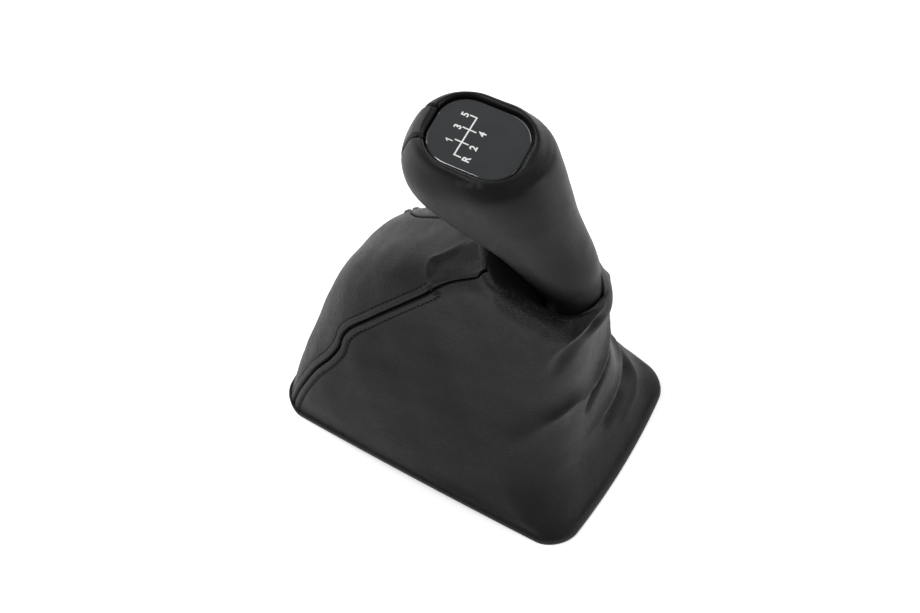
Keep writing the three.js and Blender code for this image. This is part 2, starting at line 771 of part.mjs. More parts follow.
// Knob core: the same skin drawn in by the leather, closed at the lower end and by the floor
// of the plate's pocket, and bored for the lever
const coreSegments = 28;
const coreInset = knobLeather + fit;
const coreShares = [...Array(coreSegments).keys()].map((step) => (step + 0.5) / coreSegments);
const coreFoot = ring(0, neckEnd - coreInset);
const coreRows = rowLevels(knobHoops).map((level) => {
  if (level === 0) {
    return coreShares.map((share) => hoopPoint(hoopAt([coreFoot, coreFoot], 0), share));
  }
  const hoop = hoopAt(knobHoops, level);
  return coreShares.map((share) => hoopPoint(hoop, share)
    .addScaledVector(skinNormal(knobHoops, level, share), -coreInset));
});
const pocketDown = offPlate(0, -fit);
coreRows.push(coreRows.at(-1).map((point) => point.clone().add(
  new THREE.Vector3(pocketDown.x - plateMiddle.x, 0, pocketDown.z - plateMiddle.z),
)));

const leverPlace = new THREE.Object3D();
leverPlace.position.set(neckFoot.x, 0, neckFoot.z);
leverPlace.rotation.set(Math.PI / 2, leverLean, 0, 'YXZ');
leverPlace.updateMatrix();

const bore = new THREE.CylinderGeometry(boreDiameter / 2, boreDiameter / 2, 2 * boreDepth, roundSegments);
bore.applyMatrix4(leverPlace.matrix);
const knobCore = cutBy(rowSolid(coreRows, true), [bore]);

// Pieces about the lever's axis: bush, collar and tie
const bushRadius = boreDiameter / 2 - fit;
const leverBush = revolved([
  [leverDiameter / 2, fit],
  [bushRadius, fit],
  [bushRadius, boreDepth - fit],
  [leverDiameter / 2, boreDepth - fit],
]);

const neckCollar = revolved([
  [collarBore / 2, -collarHeight],
  [collarRadius, -collarHeight],
  [collarRadius, -fit - collarFlangeHeight],
  [collarFlange, -fit - collarFlangeHeight],
  [collarFlange, -fit],
  [collarBore / 2, -fit],
]);

const tieRadius = collarRadius + leather + 2 * fit;
const tieTop = -collarHeight + tieWidth + fit;
const tieBand = revolved([
  [tieRadius, tieTop - tieWidth],
  [tieRadius + tieThickness, tieTop - tieWidth],
  [tieRadius + tieThickness, tieTop],
  [tieRadius, tieTop],
]);
const tieBlock = new THREE.BoxGeometry(tieHead * 0.8, tieHead, tieHead);
tieBlock.translate(-(tieRadius + fit + tieHead * 0.4), tieTop - tieWidth / 2, 0);
const neckTie = fromSolid(toSolid(tieBand).add(toSolid(tieBlock)));

// Shift plate and its pad, in the plate's own tilted frame
const plateSegments = 32;

function plateRow(inset, up) {
  const row = [];
  for (let step = 0; step < plateSegments; step += 1) {
    const flat = roundedOutline(step / plateSegments, plateLength / 2 - inset,
      plateWidth / 2 - inset, plateCorner - inset);
    row.push(new THREE.Vector3(flat.x, flat.y, up));
  }
  return row;
}

const shiftPlate = rowSolid([
  plateRow(0, -plateThickness),
  plateRow(0, -plateBevel),
  plateRow(plateBevel, 0),
], true);
const padTop = -plateThickness - fit;
const platePad = rowSolid([
  plateRow(padMargin, padTop - padThickness + fit),
  plateRow(padMargin, padTop),
], true);

// Materials
function surface(color, roughness, metalness = 0) {
  return new THREE.MeshStandardMaterial({ color, roughness, metalness });
}

const bagLeather = surface(0x2b2b2b, 0.62);
const gripLeather = surface(0x2a2a2b, 0.55);
const framePlastic = surface(0x1d1d1e, 0.6);
const corePlastic = surface(0x26262a, 0.5);
const bushPlastic = surface(0x8a8c8e, 0.5);
const plateGloss = surface(0x2a2b2f, 0.15);
const padFoam = surface(0x3c3c3c, 0.9);
const tieNylon = surface(0x18181a, 0.45);
const stapleSteel = surface(0xa6a8aa, 0.35, 0.9);

// The assembly
const group = new THREE.Group();

function addPiece(name, geometry, material, parent = group) {
  const mesh = new THREE.Mesh(geometry, material);
  mesh.name = name;
  parent.add(mesh);
}

addPiece('base_frame', baseFrame, framePlastic);
addPiece('gaiter_side_panel', sidePanel, bagLeather);
addPiece('gaiter_front_panel', frontPanel, bagLeather);
staples.forEach((wire, index) => {
  addPiece(`staple_${String(index + 1).padStart(2, '0')}`, wire, stapleSteel);
});

addPiece('knob_core', knobCore, corePlastic);
addPiece('knob_cover', knobCover, gripLeather);
addPiece('knob_front_strip', knobStrip, gripLeather);

const leverGroup = new THREE.Group();
leverGroup.position.copy(leverPlace.position);
leverGroup.rotation.copy(leverPlace.rotation);
group.add(leverGroup);
addPiece('lever_bush', leverBush, bushPlastic, leverGroup);
addPiece('neck_collar', neckCollar, framePlastic, leverGroup);
addPiece('neck_tie', neckTie, tieNylon, leverGroup);

const plateGroup = new THREE.Group();
plateGroup.position.set(plateMiddle.x, 0, plateMiddle.z);
plateGroup.rotation.set(0, THREE.MathUtils.degToRad(plateTilt),
  THREE.MathUtils.degToRad(knobTurn), 'ZYX');
group.add(plateGroup);
addPiece('shift_plate', shiftPlate, plateGloss, plateGroup);
addPiece('plate_pad', platePad, padFoam, plateGroup);

export default group;
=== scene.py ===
# Gear lever gaiter: a sewn leather bag on an arched frame, under a leather covered knob with a
# glossy shift plate. Shapes are worked out in millimetres and made in metres.
import bpy
import math
import numpy as np
from mathutils import Matrix, Vector


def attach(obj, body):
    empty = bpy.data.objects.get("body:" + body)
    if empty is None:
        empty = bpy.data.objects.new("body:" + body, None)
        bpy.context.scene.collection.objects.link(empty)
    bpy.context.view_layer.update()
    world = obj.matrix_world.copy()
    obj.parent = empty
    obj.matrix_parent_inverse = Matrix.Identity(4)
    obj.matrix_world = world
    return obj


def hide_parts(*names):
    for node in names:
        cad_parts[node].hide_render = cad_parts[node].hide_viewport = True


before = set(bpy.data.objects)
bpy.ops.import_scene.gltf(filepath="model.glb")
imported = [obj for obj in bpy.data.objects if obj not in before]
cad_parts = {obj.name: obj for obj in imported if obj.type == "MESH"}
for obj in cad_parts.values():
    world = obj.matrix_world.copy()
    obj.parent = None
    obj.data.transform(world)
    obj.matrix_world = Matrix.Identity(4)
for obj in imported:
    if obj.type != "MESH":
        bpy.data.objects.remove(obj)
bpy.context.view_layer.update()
print("frame loaded")

mm = 0.001

# Camera
camera = {
    "lens": 66.5,
    "sensor": 36,
    "azimuth": 30.68,
    "elevation": 57.04,
    "distance": 719.4,
    "target": (-0.74, -12.86, 90),
}


def makeCamera():
    turn = math.radians(camera["azimuth"])
    lift = math.radians(camera["elevation"])
    level = math.cos(lift)
    back = Vector((math.sin(turn) * level, -math.cos(turn) * level, math.sin(lift)))
    data = bpy.data.cameras.new("camera")
    data.lens = camera["lens"]
    data.sensor_width = camera["sensor"]
    data.clip_start = 0.05
    data.clip_end = 50
    eye = bpy.data.objects.new("camera", data)
    eye.location = (Vector(camera["target"]) + back * camera["distance"]) * mm
    eye.rotation_mode = "QUATERNION"
    eye.rotation_quaternion = (-back).to_track_quat("-Z", "Y")
    bpy.context.scene.collection.objects.link(eye)
    bpy.context.scene.camera = eye


makeCamera()

# Lever, neck and plate, from which the skins are laid out
lever = {
    "footX": 45, "footZ": 115,      # middle of the knob's lower end
    "topX": 0, "topZ": 190,         # middle of the shift plate
    "neckRadius": 17.5,
    "turn": 6,                      # degrees that the head is turned about the upright
    "plateTilt": 4,                 # degrees that the plate slopes down to the rear
}
leanX, leanZ = lever["topX"] - lever["footX"], lever["topZ"] - lever["footZ"]
leverRun = math.hypot(leanX, leanZ)
leverUp = (leanX / leverRun, leanZ / leverRun)
leverFront = (-leverUp[1], leverUp[0])
neckRadius = lever["neckRadius"]


def offLever(up, front):
    # (x, z) of a point so far up the lever from its foot, and so far in front of its axis
    return (
        lever["footX"] + leverUp[0] * up + leverFront[0] * front,
        lever["footZ"] + leverUp[1] * up + leverFront[1] * front,
    )


def offPlate(rear, up):
    # (x, z) of a point behind and above the plate's middle, along and off its slope
    tilt = math.radians(lever["plateTilt"])
    return (
        lever["topX"] + rear * math.cos(tilt) + up * math.sin(tilt),
        lever["topZ"] - rear * math.sin(tilt) + up * math.cos(tilt),
    )


# Skins: a chain of hoops, each a rounded rectangle in a tilted plane. A level counts hoops from
# the lowest, and a share goes once round a hoop: rear 0, far side, front 0.5, near side, rear 1.
arch = {"rise": 6.9, "halfSpan": 64, "endBow": 3.6, "sideBow": 5}      # of the frame's outline
hoopParts = ("frontX", "frontZ", "rearX", "rearZ", "halfWide", "corner", "frameShare", "turn",
             "shift", "sag", "pull")


def hoop(front, rear, halfWide, corner=1, frameShare=0, turn=0, shift=0, sag=0, pull=0):
    # front and rear are (x, z) of its ends, corner is its rounding as a share of the shorter half
    # side, and frameShare says how far it follows the frame's arch and bowed sides; shift moves
    # it to the near side, sag lowers it between its ends, pull draws its far rear corner up
    return (*front, *rear, halfWide, corner, frameShare, turn, shift, sag, pull)


def hoopsAt(hoops, level):
    # the measures of the hoop at each level, on a smooth curve through the given hoops
    table = np.array(hoops, float)
    last = len(hoops) - 1
    index = np.clip(np.floor(level).astype(int), 0, last - 1)
    part = (level - index)[..., None]
    start, end = table[index], table[index + 1]
    before = table[np.maximum(index - 1, 0)]
    after = np.where((index + 2 <= last)[..., None], table[np.minimum(index + 2, last)], end)
    startSlope, endSlope = (end - before) / 2, (after - start) / 2
    two, three = part ** 2, part ** 3
    made = start * (2 * three - 3 * two + 1) + startSlope * (three - 2 * two + part)
    made = made + end * (3 * two - 2 * three) + endSlope * (three - two)
    h = {name: made[..., k] for k, name in enumerate(hoopParts)}
    h["halfLong"] = np.hypot(h["rearX"] - h["frontX"], h["rearZ"] - h["frontZ"]) / 2
    h["radius"] = h["corner"] * np.minimum(h["halfLong"], h["halfWide"])
    h["arc"] = h["radius"] * math.pi / 2
    h["round"] = 4 * (h["halfLong"] + h["halfWide"] - 2 * h["radius"] + h["arc"])
    return h


def outlinePoint(share, h):
    # the flat outline at a share: worked out on one quarter and mirrored to the other three
    runX, runY = h["halfLong"] - h["radius"], h["halfWide"] - h["radius"]
    quarter = runX + runY + h["arc"]
    way = (share - np.floor(share)) * 4 * quarter
    signY = np.where(way > 2 * quarter, -1.0, 1.0)
    way = np.where(way > 2 * quarter, 4 * quarter - way, way)
    signX = np.where(way > quarter, -1.0, 1.0)
    way = np.where(way > quarter, 2 * quarter - way, way)
    angle = np.clip((way - runY) / h["radius"], 0, math.pi / 2)
    x, y = runX + h["radius"] * np.cos(angle), runY + h["radius"] * np.sin(angle)
    x = np.where(way > runY + h["arc"], quarter - way, x)
    y = np.where(way < runY, way, y)
    return signX * x, signY * y


def skinPoints(hoops, level, share):
    level, share = np.broadcast_arrays(level, share)
    h = hoopsAt(hoops, level)
    flatX, flatY = outlinePoint(share, h)
    along, across = flatX / h["halfLong"], flatY / h["halfWide"]
    bowX = arch["endBow"] * h["frameShare"] * along * np.abs(along) * (1 - across ** 2)
    bowY = arch["sideBow"] * h["frameShare"] * across * np.abs(across) * (1 - along ** 2)
    offX, offY = (h["rearX"] - h["frontX"]) / 2 * along + bowX, flatY + bowY
    turn = np.radians(h["turn"])
    x = (h["rearX"] + h["frontX"]) / 2 + offX * np.cos(turn) - offY * np.sin(turn)
    y = offX * np.sin(turn) + offY * np.cos(turn)
    z = (h["rearZ"] + h["frontZ"]) / 2 + (h["rearZ"] - h["frontZ"]) / 2 * along
    z = z - h["sag"] * (1 - along ** 2)
    lift = arch["rise"] * (1 - np.minimum(1, np.abs(x) / arch["halfSpan"]) ** 2)
    pulled = h["pull"] * np.maximum(0, across) ** 2 * (1 + along)      # up at the far rear corner
    return np.stack([x + leverUp[0] * pulled, y - h["shift"],
                     z + lift * h["frameShare"] + leverUp[1] * pulled], -1)


def skinNormals(hoops, level, share, step=0.006, rise=0.02):
    low, high = np.maximum(0, level - rise), np.minimum(len(hoops) - 1, level + rise)
    around = skinPoints(hoops, level, share + step) - skinPoints(hoops, level, share - step)
    up = skinPoints(hoops, high, share) - skinPoints(hoops, low, share)
    n = np.cross(around, up)
    return n / np.maximum(np.linalg.norm(n, axis=-1, keepdims=True), 1e-9)


def smoothStep(value, low, high):
    t = np.clip((value - low) / (high - low), 0, 1)
    return t * t * (3 - 2 * t)


def softNoise(points, size, seed, waves=14, highest=5):
    # smooth random relief of about -1 to 1, the same on every run: a sum of waves of about this
    # size, divided by about the highest that they reach together
    rng = np.random.default_rng(seed)
    total = np.zeros(points.shape[:-1])
    for _ in range(waves):
        way = rng.normal(size=3)
        way = way / np.linalg.norm(way) * rng.uniform(0.6, 1.6) * 2 * math.pi / size
        total += np.sin(points @ way + rng.uniform(0, 2 * math.pi))
    return total / highest


# Meshes
def makeMesh(name, points, faces, materials, faceSlots=None, smooth=True):
    data = bpy.data.meshes.new(name)
    data.from_pydata((np.asarray(points) * mm).tolist(), [], faces)
    for material in materials:
        data.materials.append(material)
    if faceSlots is not None:
        data.polygons.foreach_set("material_index", faceSlots)
    data.polygons.foreach_set("use_smooth", [smooth] * len(data.polygons))
    data.update()
    piece = bpy.data.objects.new(name, data)
    bpy.context.scene.collection.objects.link(piece)
    return piece


def shellFaces(rows, columns):
    # faces of the outer sheet, the inner sheet and the four narrow edges between them
    at = np.arange(rows * columns).reshape(rows, columns)
    back = rows * columns
    a, b, c, d = at[:-1, :-1], at[:-1, 1:], at[1:, 1:], at[1:, :-1]
    outer = np.stack([a, b, c, d], -1).reshape(-1, 4)
    inner = outer[:, ::-1] + back
    edges = []
    for one, other, flip in ((at[:, 0], at[:, 0], False), (at[:, -1], at[:, -1], True),
                             (at[0], at[0], True), (at[-1], at[-1], False)):
        quad = np.stack([one[:-1], one[1:], other[1:] + back, other[:-1] + back], -1)
        edges.append(quad[:, ::-1] if flip else quad)
    return outer, inner, np.concatenate(edges)


def tubeFaces(rows, count, base=0):
    # faces between rows of points, each row a closed ring
    faces = []
    for row in range(rows - 1):
        for k in range(count):
            low, beside = base + row * count + k, base + row * count + (k + 1) % count
            faces.append((low, beside, beside + count, low + count))
    return faces


def levelColumn(rowCounts):
    # levels from the first hoop to the last, with so many rows from each hoop to the next
    parts = [np.arange(rows) / rows + k for k, rows in enumerate(rowCounts)]
    return np.concatenate(parts + [[len(rowCounts)]])[:, None]


def spreadShares(start, end, edge, first, count):
    # columns close together along both seams and evenly spread between them
    middle = np.linspace(0, 1, count)[None, :]
    return np.concatenate([start + edge, start + first + (end - start - 2 * first) * middle,
                           (end - edge)[:, ::-1]], axis=1)


def makeSheet(name, outer, inner, materials, marks):
    # a closed skin from the grids of its outer and inner points; its marks drive the material
    outFaces, inFaces, rim = shellFaces(*outer.shape[:2])
    slots = np.concatenate([np.zeros(len(outFaces)), np.ones(len(inFaces)), np.zeros(len(rim))])
    piece = makeMesh(name, np.concatenate([outer.reshape(-1, 3), inner.reshape(-1, 3)]),
                     np.concatenate([outFaces, inFaces, rim]).tolist(), materials,
                     slots.astype(int))
    for mark, values in marks.items():
        layer = piece.data.attributes.new(mark, "FLOAT", "POINT")
        layer.data.foreach_set("value", np.tile(values.ravel(), 2).astype(np.float32))
    return piece


# Materials
class Nodes:
    # a short way to write a material's node tree
    def __init__(self, name):
        self.material = bpy.data.materials.new(name)
        self.material.use_nodes = True
        self.tree = self.material.node_tree
        self.shader = self.tree.nodes["Principled BSDF"]

    def add(self, kind, inputs=None, **settings):
        node = self.tree.nodes.new(kind)
        for key, value in settings.items():
            setattr(node, key, value)
        for key, value in (inputs or {}).items():
            if isinstance(value, bpy.types.NodeSocket):
                self.tree.links.new(value, node.inputs[key])
            else:
                node.inputs[key].default_value = value
        return node

    def link(self, socket, key):
        self.tree.links.new(socket, self.shader.inputs[key])

    def set(self, **values):
        for key, value in values.items():
            self.shader.inputs[key.replace("_", " ")].default_value = value

    def place(self):
        return self.add("ShaderNodeTexCoord").outputs["Object"]

    def noise(self, scale, detail):
        node = self.add("ShaderNodeTexNoise", {"Vector": self.place(), "Scale": scale,
                                               "Detail": detail})
        return node.outputs["Fac"]

    def range(self, value, low, high, start, end):
        return self.add("ShaderNodeMapRange", {"Value": value, "From Min": low, "From Max": high,
                                               "To Min": start, "To Max": end}).outputs[0]

    def math(self, operation, one, other):
        return self.add("ShaderNodeMath", {0: one, 1: other}, operation=operation).outputs[0]

    def mix(self, share, one, other):
        # of two colours: a Mix node keeps its colours in sockets 6, 7 and 2
        return self.add("ShaderNodeMix", {0: share, 6: one, 7: other}, data_type="RGBA").outputs[2]

    def tint(self, tone, one, other):
        return self.mix(self.range(tone, 0.3, 0.7, 0, 1), one, other)

    def attribute(self, name):
        return self.add("ShaderNodeAttribute", attribute_name=name).outputs["Fac"]

    def bump(self, height, strength, distance, normal=None):
        inputs = {"Height": height, "Strength": strength, "Distance": distance}
        if normal is not None:
            inputs["Normal"] = normal
        return self.add("ShaderNodeBump", inputs).outputs[0]


def grey(value, warm=0.0):
    # linear colour from an sRGB grey level of 0 to 255, a little warm or cool
    v = value / 255
    linear = v / 12.92 if v <= 0.04045 else ((v + 0.055) / 1.055) ** 2.4
    return (linear * (1 + warm), linear, linear * (1 - warm), 1)


# Leathers: greys of the dye and of rubbed spots, and the size and depth of the pebbles in mm
leatherScales = {"bend": 700, "pores": 2600, "soft": 260, "tone": 22, "fine": 420}     # per metre
bagLeather = {
    "dark": 16, "light": 24, "warm": 0.03, "worn": 62, "sheen": 0.2,
    "roughness": (0.40, 0.56), "pebble": 1.2, "pebbleDepth": 0.26,
}


def makeLeather(name, look):
    n = Nodes(name)
    scales = leatherScales
    place = n.place()
    bend = n.add("ShaderNodeTexNoise", {"Vector": place, "Scale": scales["bend"], "Detail": 2})
    bent = n.add("ShaderNodeMix", {0: 0.0006, 4: place, 5: bend.outputs["Color"]},
                 data_type="VECTOR", factor_mode="UNIFORM")     # 4, 5 and 1 are its vectors
    cells = n.add("ShaderNodeTexVoronoi", {"Vector": bent.outputs[1],
                                           "Scale": 1000 / look["pebble"]},
                  feature="DISTANCE_TO_EDGE").outputs["Distance"]
    pebbles = n.range(cells, 0.0, 0.28, 0.0, 1.0)
    pores = n.noise(scales["pores"], 2)
    soft = n.noise(scales["soft"], 3)
    tone = n.noise(scales["tone"], 4)
    fine = n.noise(scales["fine"], 3)
    colour = n.tint(tone, grey(look["dark"]), grey(look["light"], look["warm"]))
    # painted shade: the colour darkens in the valleys between the pebbles, the more so where the
    # grain mark is strong
    pebbleValleyShade = n.math("MULTIPLY", n.range(pebbles, 0, 1, 0.4, 0), n.attribute("grain"))
    colour = n.mix(pebbleValleyShade, colour, grey(look["dark"] * 0.6))
    rubbed = n.math("MULTIPLY", n.attribute("wear"), n.range(fine, 0.35, 0.65, 0.2, 1))
    n.link(n.mix(rubbed, colour, grey(look["worn"], 0.05)), "Base Color")
    low, high = look["roughness"]
    rough = n.range(n.math("ADD", n.math("MULTIPLY", tone, 0.6), n.math("MULTIPLY", fine, 0.4)),
                    0.35, 0.65, low, high)
    n.link(rough, "Roughness")
    n.set(Specular_IOR_Level=look["sheen"])
    height = n.math("MULTIPLY", pebbles, n.attribute("grain"))
    normal = n.bump(height, 1.0, look["pebbleDepth"] * mm)
    normal = n.bump(n.math("ADD", pores, n.math("MULTIPLY", soft, 2.0)), 0.35, 0.06 * mm, normal)
    n.link(normal, "Normal")
    return n.material


def makeSuede(name, level):
    n = Nodes(name)
    tone = n.noise(60, 4)
    fibre = n.noise(1500, 4)
    n.link(n.tint(tone, grey(level, 0.05), grey(level * 1.3, 0.07)), "Base Color")
    n.set(Roughness=0.95, Specular_IOR_Level=0.15)
    n.link(n.bump(fibre, 0.8, 0.15 * mm), "Normal")
    return n.material


def makePlastic(name, look):
    n = Nodes(name)
    tone = n.noise(35, 3)
    grain = n.noise(look["grain"], 2)
    n.link(n.tint(tone, grey(look["dark"]), grey(look["light"])), "Base Color")
    rough = look["roughness"]
    n.link(n.range(grain, 0.3, 0.7, rough - 0.06, rough + 0.06), "Roughness")
    n.set(Metallic=look.get("metal", 0.0))
    n.link(n.bump(grain, look["bump"], 0.05 * mm), "Normal")
    return n.material


leatherMaterial = makeLeather("bagLeather", bagLeather)
innerMaterial = makeSuede("bagLeatherInside", 44)
gripLeather = {
    "dark": 17, "light": 24, "warm": 0.02, "worn": 66, "sheen": 0.22,
    "roughness": (0.40, 0.52), "pebble": 0.8, "pebbleDepth": 0.05,
}
gripMaterial = makeLeather("gripLeather", gripLeather)
threadMaterial = makePlastic("blackThread", {"dark": 36, "light": 46, "grain": 3000,
                                             "roughness": 0.5, "bump": 0.8})
print("leathers made")

# The leather bag on its frame
frameSize = {"length": 157.2, "width": 114, "corner": 12, "flange": 4.0, "leather": 1}
halfLength = frameSize["length"] / 2 - arch["endBow"]
halfWidth = frameSize["width"] / 2 - arch["sideBow"]
flange = frameSize["flange"]


def frameHoop(inset, z):
    # the frame's outline, so far in and up
    corner = (frameSize["corner"] - inset * 0.6) / (halfWidth - inset)
    return hoop((-(halfLength - inset), z), (halfLength - inset, z), halfWidth - inset, corner, 1)


def ring(up, radius):
    return hoop(offLever(up, radius), offLever(up, -radius), radius)


neckEnd = neckRadius - 3        # the bag's mouth, where the leather turns down


def leverHoop(frontUp, frontOut, rearUp, rearOut, sideOut, **rest):
    # ends measured up the lever and out from the knob's neck
    return hoop(offLever(frontUp, neckRadius + frontOut), offLever(rearUp, -neckRadius - rearOut),
                neckRadius + sideOut, **rest)


def frameStation(frontIn, frontUp, rearIn, rearUp, sideIn, **rest):
    # ends measured in from the frame's outline and up from its flange
    return hoop((-halfLength + frontIn, flange + frontUp), (halfLength - rearIn, flange + rearUp),
                halfWidth - sideIn, **rest)


bagHoops = [
    frameHoop(8, 0),
    frameHoop(1, 0),
    frameHoop(0, 1),
    frameHoop(0.4, flange - 1.2),
    frameHoop(1.5, flange + 0.2),
    frameStation(3, 16, 5, 4, 3, corner=0.4, frameShare=0.8),      # skirt
    frameStation(7, 40, 13, 20, 8, corner=0.6, frameShare=0.5),      # belly
    frameStation(15, 68, 15, 44, 16, corner=0.75, frameShare=0.25),      # shoulder
    leverHoop(30, 67, -39.5, -27, 11.5, corner=0.8),      # hump
    leverHoop(35, 35, -19.3, -14.5, 5.5, corner=0.85),      # slope
    leverHoop(36, 13, -9, -3.4, 2.6, corner=0.9, shift=1.6, sag=3, pull=3),      # nape
    leverHoop(37.3, 6.9, -2.5, -1.3, 1.8, shift=1.9, sag=2.5, pull=14),      # crest
    leverHoop(33.5, 2.8, 0, -2.2, -0.6, shift=1.1, sag=1.8, pull=14),      # down inside the roll
    leverHoop(16, -3.6, 0, -3, -4, shift=-1.1, sag=2, pull=6),
    leverHoop(4, -5, 0, -2.8, -4, shift=-1.3),
    ring(-0.35, neckEnd + 0.7),      # mouth
    ring(-1.9, neckEnd - 0.3),
    ring(-2.2, 10.8),      # drawn onto the collar
    ring(-3.2, 9.8),
    ring(-8, 9.8),
]

bag = {
    "rows": [4, 4, 3, 4, 14, 18, 20, 24, 22, 20, 10, 8, 10, 6, 5, 3, 3, 2, 4],
    "sideColumns": 200,
    "frontColumns": 84,
    "seamColumns": [0.05, 0.25, 0.5, 0.75, 1.0, 1.3, 1.8, 2.4, 2.9, 3.2, 3.45, 3.7, 3.95, 4.2,
                    4.6, 5.3],      # distances from a seam of the columns beside it
    "weltWidth": 3.7,       # the sewn band on each side of a seam
    "weltHeight": 0.8,
    "weltStart": 3.0,       # levels at which the bands start and end
    "weltEnd": 8.8,
    "farWeltEnd": 7.7,
    "groove": (1.5, 0.5),   # depth and half width of the seam's groove
    "sewn": (0.8, 0.42),    # and of the line that the thread draws in
    "neckSlot": 0.8,        # half of the seam's opening at the neck
    "crestSlot": 2.2,       # what it opens further where it turns over the crest
    "stitchPitch": 2.7,
    "stitchLength": 1.9,
    "stitchStart": 0.4,
    "stitchPoints": 7,
    "threadRadius": 0.26,
    "threadSides": 6,
    "drape": ((0.6, 46, 3), (0.16, 17, 5)),     # soft unevenness: height, size and seed
    "grain": 0.3,           # how far the pebbles stand out, and how dark the painted shade between them is
    "strongGrainAndShade": 2.6,     # and at the spots below: level, share and reach
    "grainAndShadeSpots": ((10.9, 0.735, 9), (11.1, 0.79, 9), (10.74, 0.835, 8)),
    "rub": (0.1, 2.0, 1.2),         # wear of the sewn bands: how much, how far out, how wide
}

# Folds: path of (share, level), height, half width and sharpness
bagFolds = {
    "crestRidge": ([(1.024, 12.0), (0.986, 11.6), (0.948, 11.1), (0.914, 10.65), (0.885, 10.1),
                    (0.882, 9.5), (0.884, 8.87), (0.881, 8.4)], 1.7, 1.9, 1.2),
    "crestTrough": ([(1.0, 10.8), (0.966, 10.45), (0.93, 9.9), (0.921, 9.38), (0.911, 8.79),
                     (0.9, 8.2)], -2.7, 3.4, 2),
    "rearRidge": ([(1.075, 9.6), (1.066, 8.6), (1.035, 7.75), (1.016, 7.57), (0.997, 7.48),
                   (0.972, 7.52), (0.949, 7.57), (0.914, 7.36), (0.884, 7.0)], 2.6, 3.4, 1.3),
    "rearTrough": ([(1.1, 9.0), (1.085, 8.2), (1.05, 7.44), (1.027, 7.3), (1.008, 7.15),
                    (0.984, 7.0), (0.972, 6.8)], -3.4, 2.7, 2),
    "lowRidge": ([(1.13, 6.9), (1.115, 6.2), (1.092, 6.15), (1.064, 6.41), (1.044, 6.45),
                  (1.027, 6.35), (1.002, 6.3), (0.983, 6.3), (0.96, 6.2)], 2.2, 3.2, 1.4),
    "lowTrough": ([(1.12, 5.9), (1.089, 5.8), (1.061, 5.95), (1.038, 5.9), (1.017, 5.84),
                   (1.0, 5.75)], -2.6, 2.9, 2),
    "cornerRidge": ([(1.12, 5.6), (1.102, 5.55), (1.092, 5.42), (1.081, 5.4), (1.061, 5.44),
                     (1.042, 5.4), (1.028, 5.3)], 1.5, 3.4, 1.5),
    "farRidge": ([(1.1, 10.2), (1.13, 9.3), (1.17, 8.3), (1.19, 7.3)], 1.8, 3.6, 1.4),
    "farTrough": ([(1.07, 10.0), (1.09, 9.2), (1.12, 8.3), (1.14, 7.4)], -1.8, 4.0, 2),
    "farLowRidge": ([(1.2, 9.6), (1.23, 8.6), (1.24, 7.4)], 1.2, 4.5, 1.6),
    "humpFacet": ([(0.507, 10.0), (0.536, 9.71), (0.559, 9.38), (0.57, 9.1), (0.579, 9.02),
                   (0.6, 8.91), (0.63, 8.8)], 0.6, 1.3, 1.2),
    "slackBand": ([(0.95, 7.2), (0.914, 7.36), (0.884, 7.0), (0.85, 6.4)], 1.0, 6.0, 2),
    "slackLow": ([(1.0, 5.9), (0.965, 6.15), (0.943, 6.24), (0.9, 6.0)], 0.9, 6.0, 2),
}


def curveThrough(path, count=40):
    # smooth curve through the points of a path
    p = np.array(path, float)
    p = np.concatenate([[2 * p[0] - p[1]], p, [2 * p[-1] - p[-2]]])
    t = np.linspace(0, len(path) - 1, count)
    k = np.minimum(np.floor(t).astype(int), len(path) - 2)
    f = (t - k)[:, None]
    a, b, c, d = p[k], p[k + 1], p[k + 2], p[k + 3]
    return 0.5 * (2 * b + (c - a) * f + (2 * a - 5 * b + 4 * c - d) * f ** 2
                  + (3 * b - a - 3 * c + d) * f ** 3)


def pathDistance(points, line):
    # distance from each point to a line of points, and how far along it the nearest part is
    best = np.full(points.shape[:-1], np.inf)
    along = np.zeros(points.shape[:-1])
    for k in range(len(line) - 1):
        start, way = line[k], line[k + 1] - line[k]
        t = np.clip((points - start) @ way / max(way @ way, 1e-9), 0, 1)
        gap = np.linalg.norm(points - (start + t[..., None] * way), axis=-1)
        near = gap < best
        best = np.where(near, gap, best)
        along = np.where(near, (k + t) / (len(line) - 1), along)
    return best, along


def foldHeight(points):
    height = np.zeros(points.shape[:-1])
    for path, rise, reach, power in bagFolds.values():
        curve = curveThrough(path)
        line = skinPoints(bagHoops, curve[:, 1], curve[:, 0])
        gap, along = pathDistance(points, line)
        ends = smoothStep(along, -0.02, 0.2) * (1 - smoothStep(along, 0.75, 1.02))
        height += rise * ends * np.exp(-(gap / reach) ** power)
    return height


# Seams: (level, share away from the middle of the front) on the near and the far side
seamPaths = {
    "near": [(0, 0.109), (3.5, 0.107), (4.2, 0.1055), (4.92, 0.1069), (5.58, 0.1131),
             (6.16, 0.1236), (6.52, 0.1262), (6.76, 0.1215), (7.03, 0.1231), (7.49, 0.1331),
             (8.07, 0.1416), (8.58, 0.1416), (8.8, 0.1373), (9.69, 0.1207), (10.6, 0.114),
             (11.3, 0.1105), (11.47, 0.109), (11.53, 0.1), (11.77, 0.038), (12.3, 0.033),
             (13, 0.05), (14, 0.1), (15, 0.125), (19, 0.125)],
    "far": [(0, 0.109), (3.5, 0.109), (4.2, 0.108), (5, 0.107), (6, 0.11), (6.8, 0.105),
            (7.4, 0.085), (7.9, 0.056), (8.3, 0.038), (8.6, 0.035), (8.95, 0.036), (9.7, 0.048),
            (10.6, 0.06), (11.3, 0.06), (12, 0.06), (13, 0.07), (14, 0.1), (15, 0.125),
            (19, 0.125)],
}


def seamShareAt(level, side):
    # the share from the middle of the front to a seam; side is 1 for the near one and -1 for
    # the far one
    line = curveThrough(seamPaths["near" if side > 0 else "far"], 600)
    return np.interp(level, line[:, 0], line[:, 1])


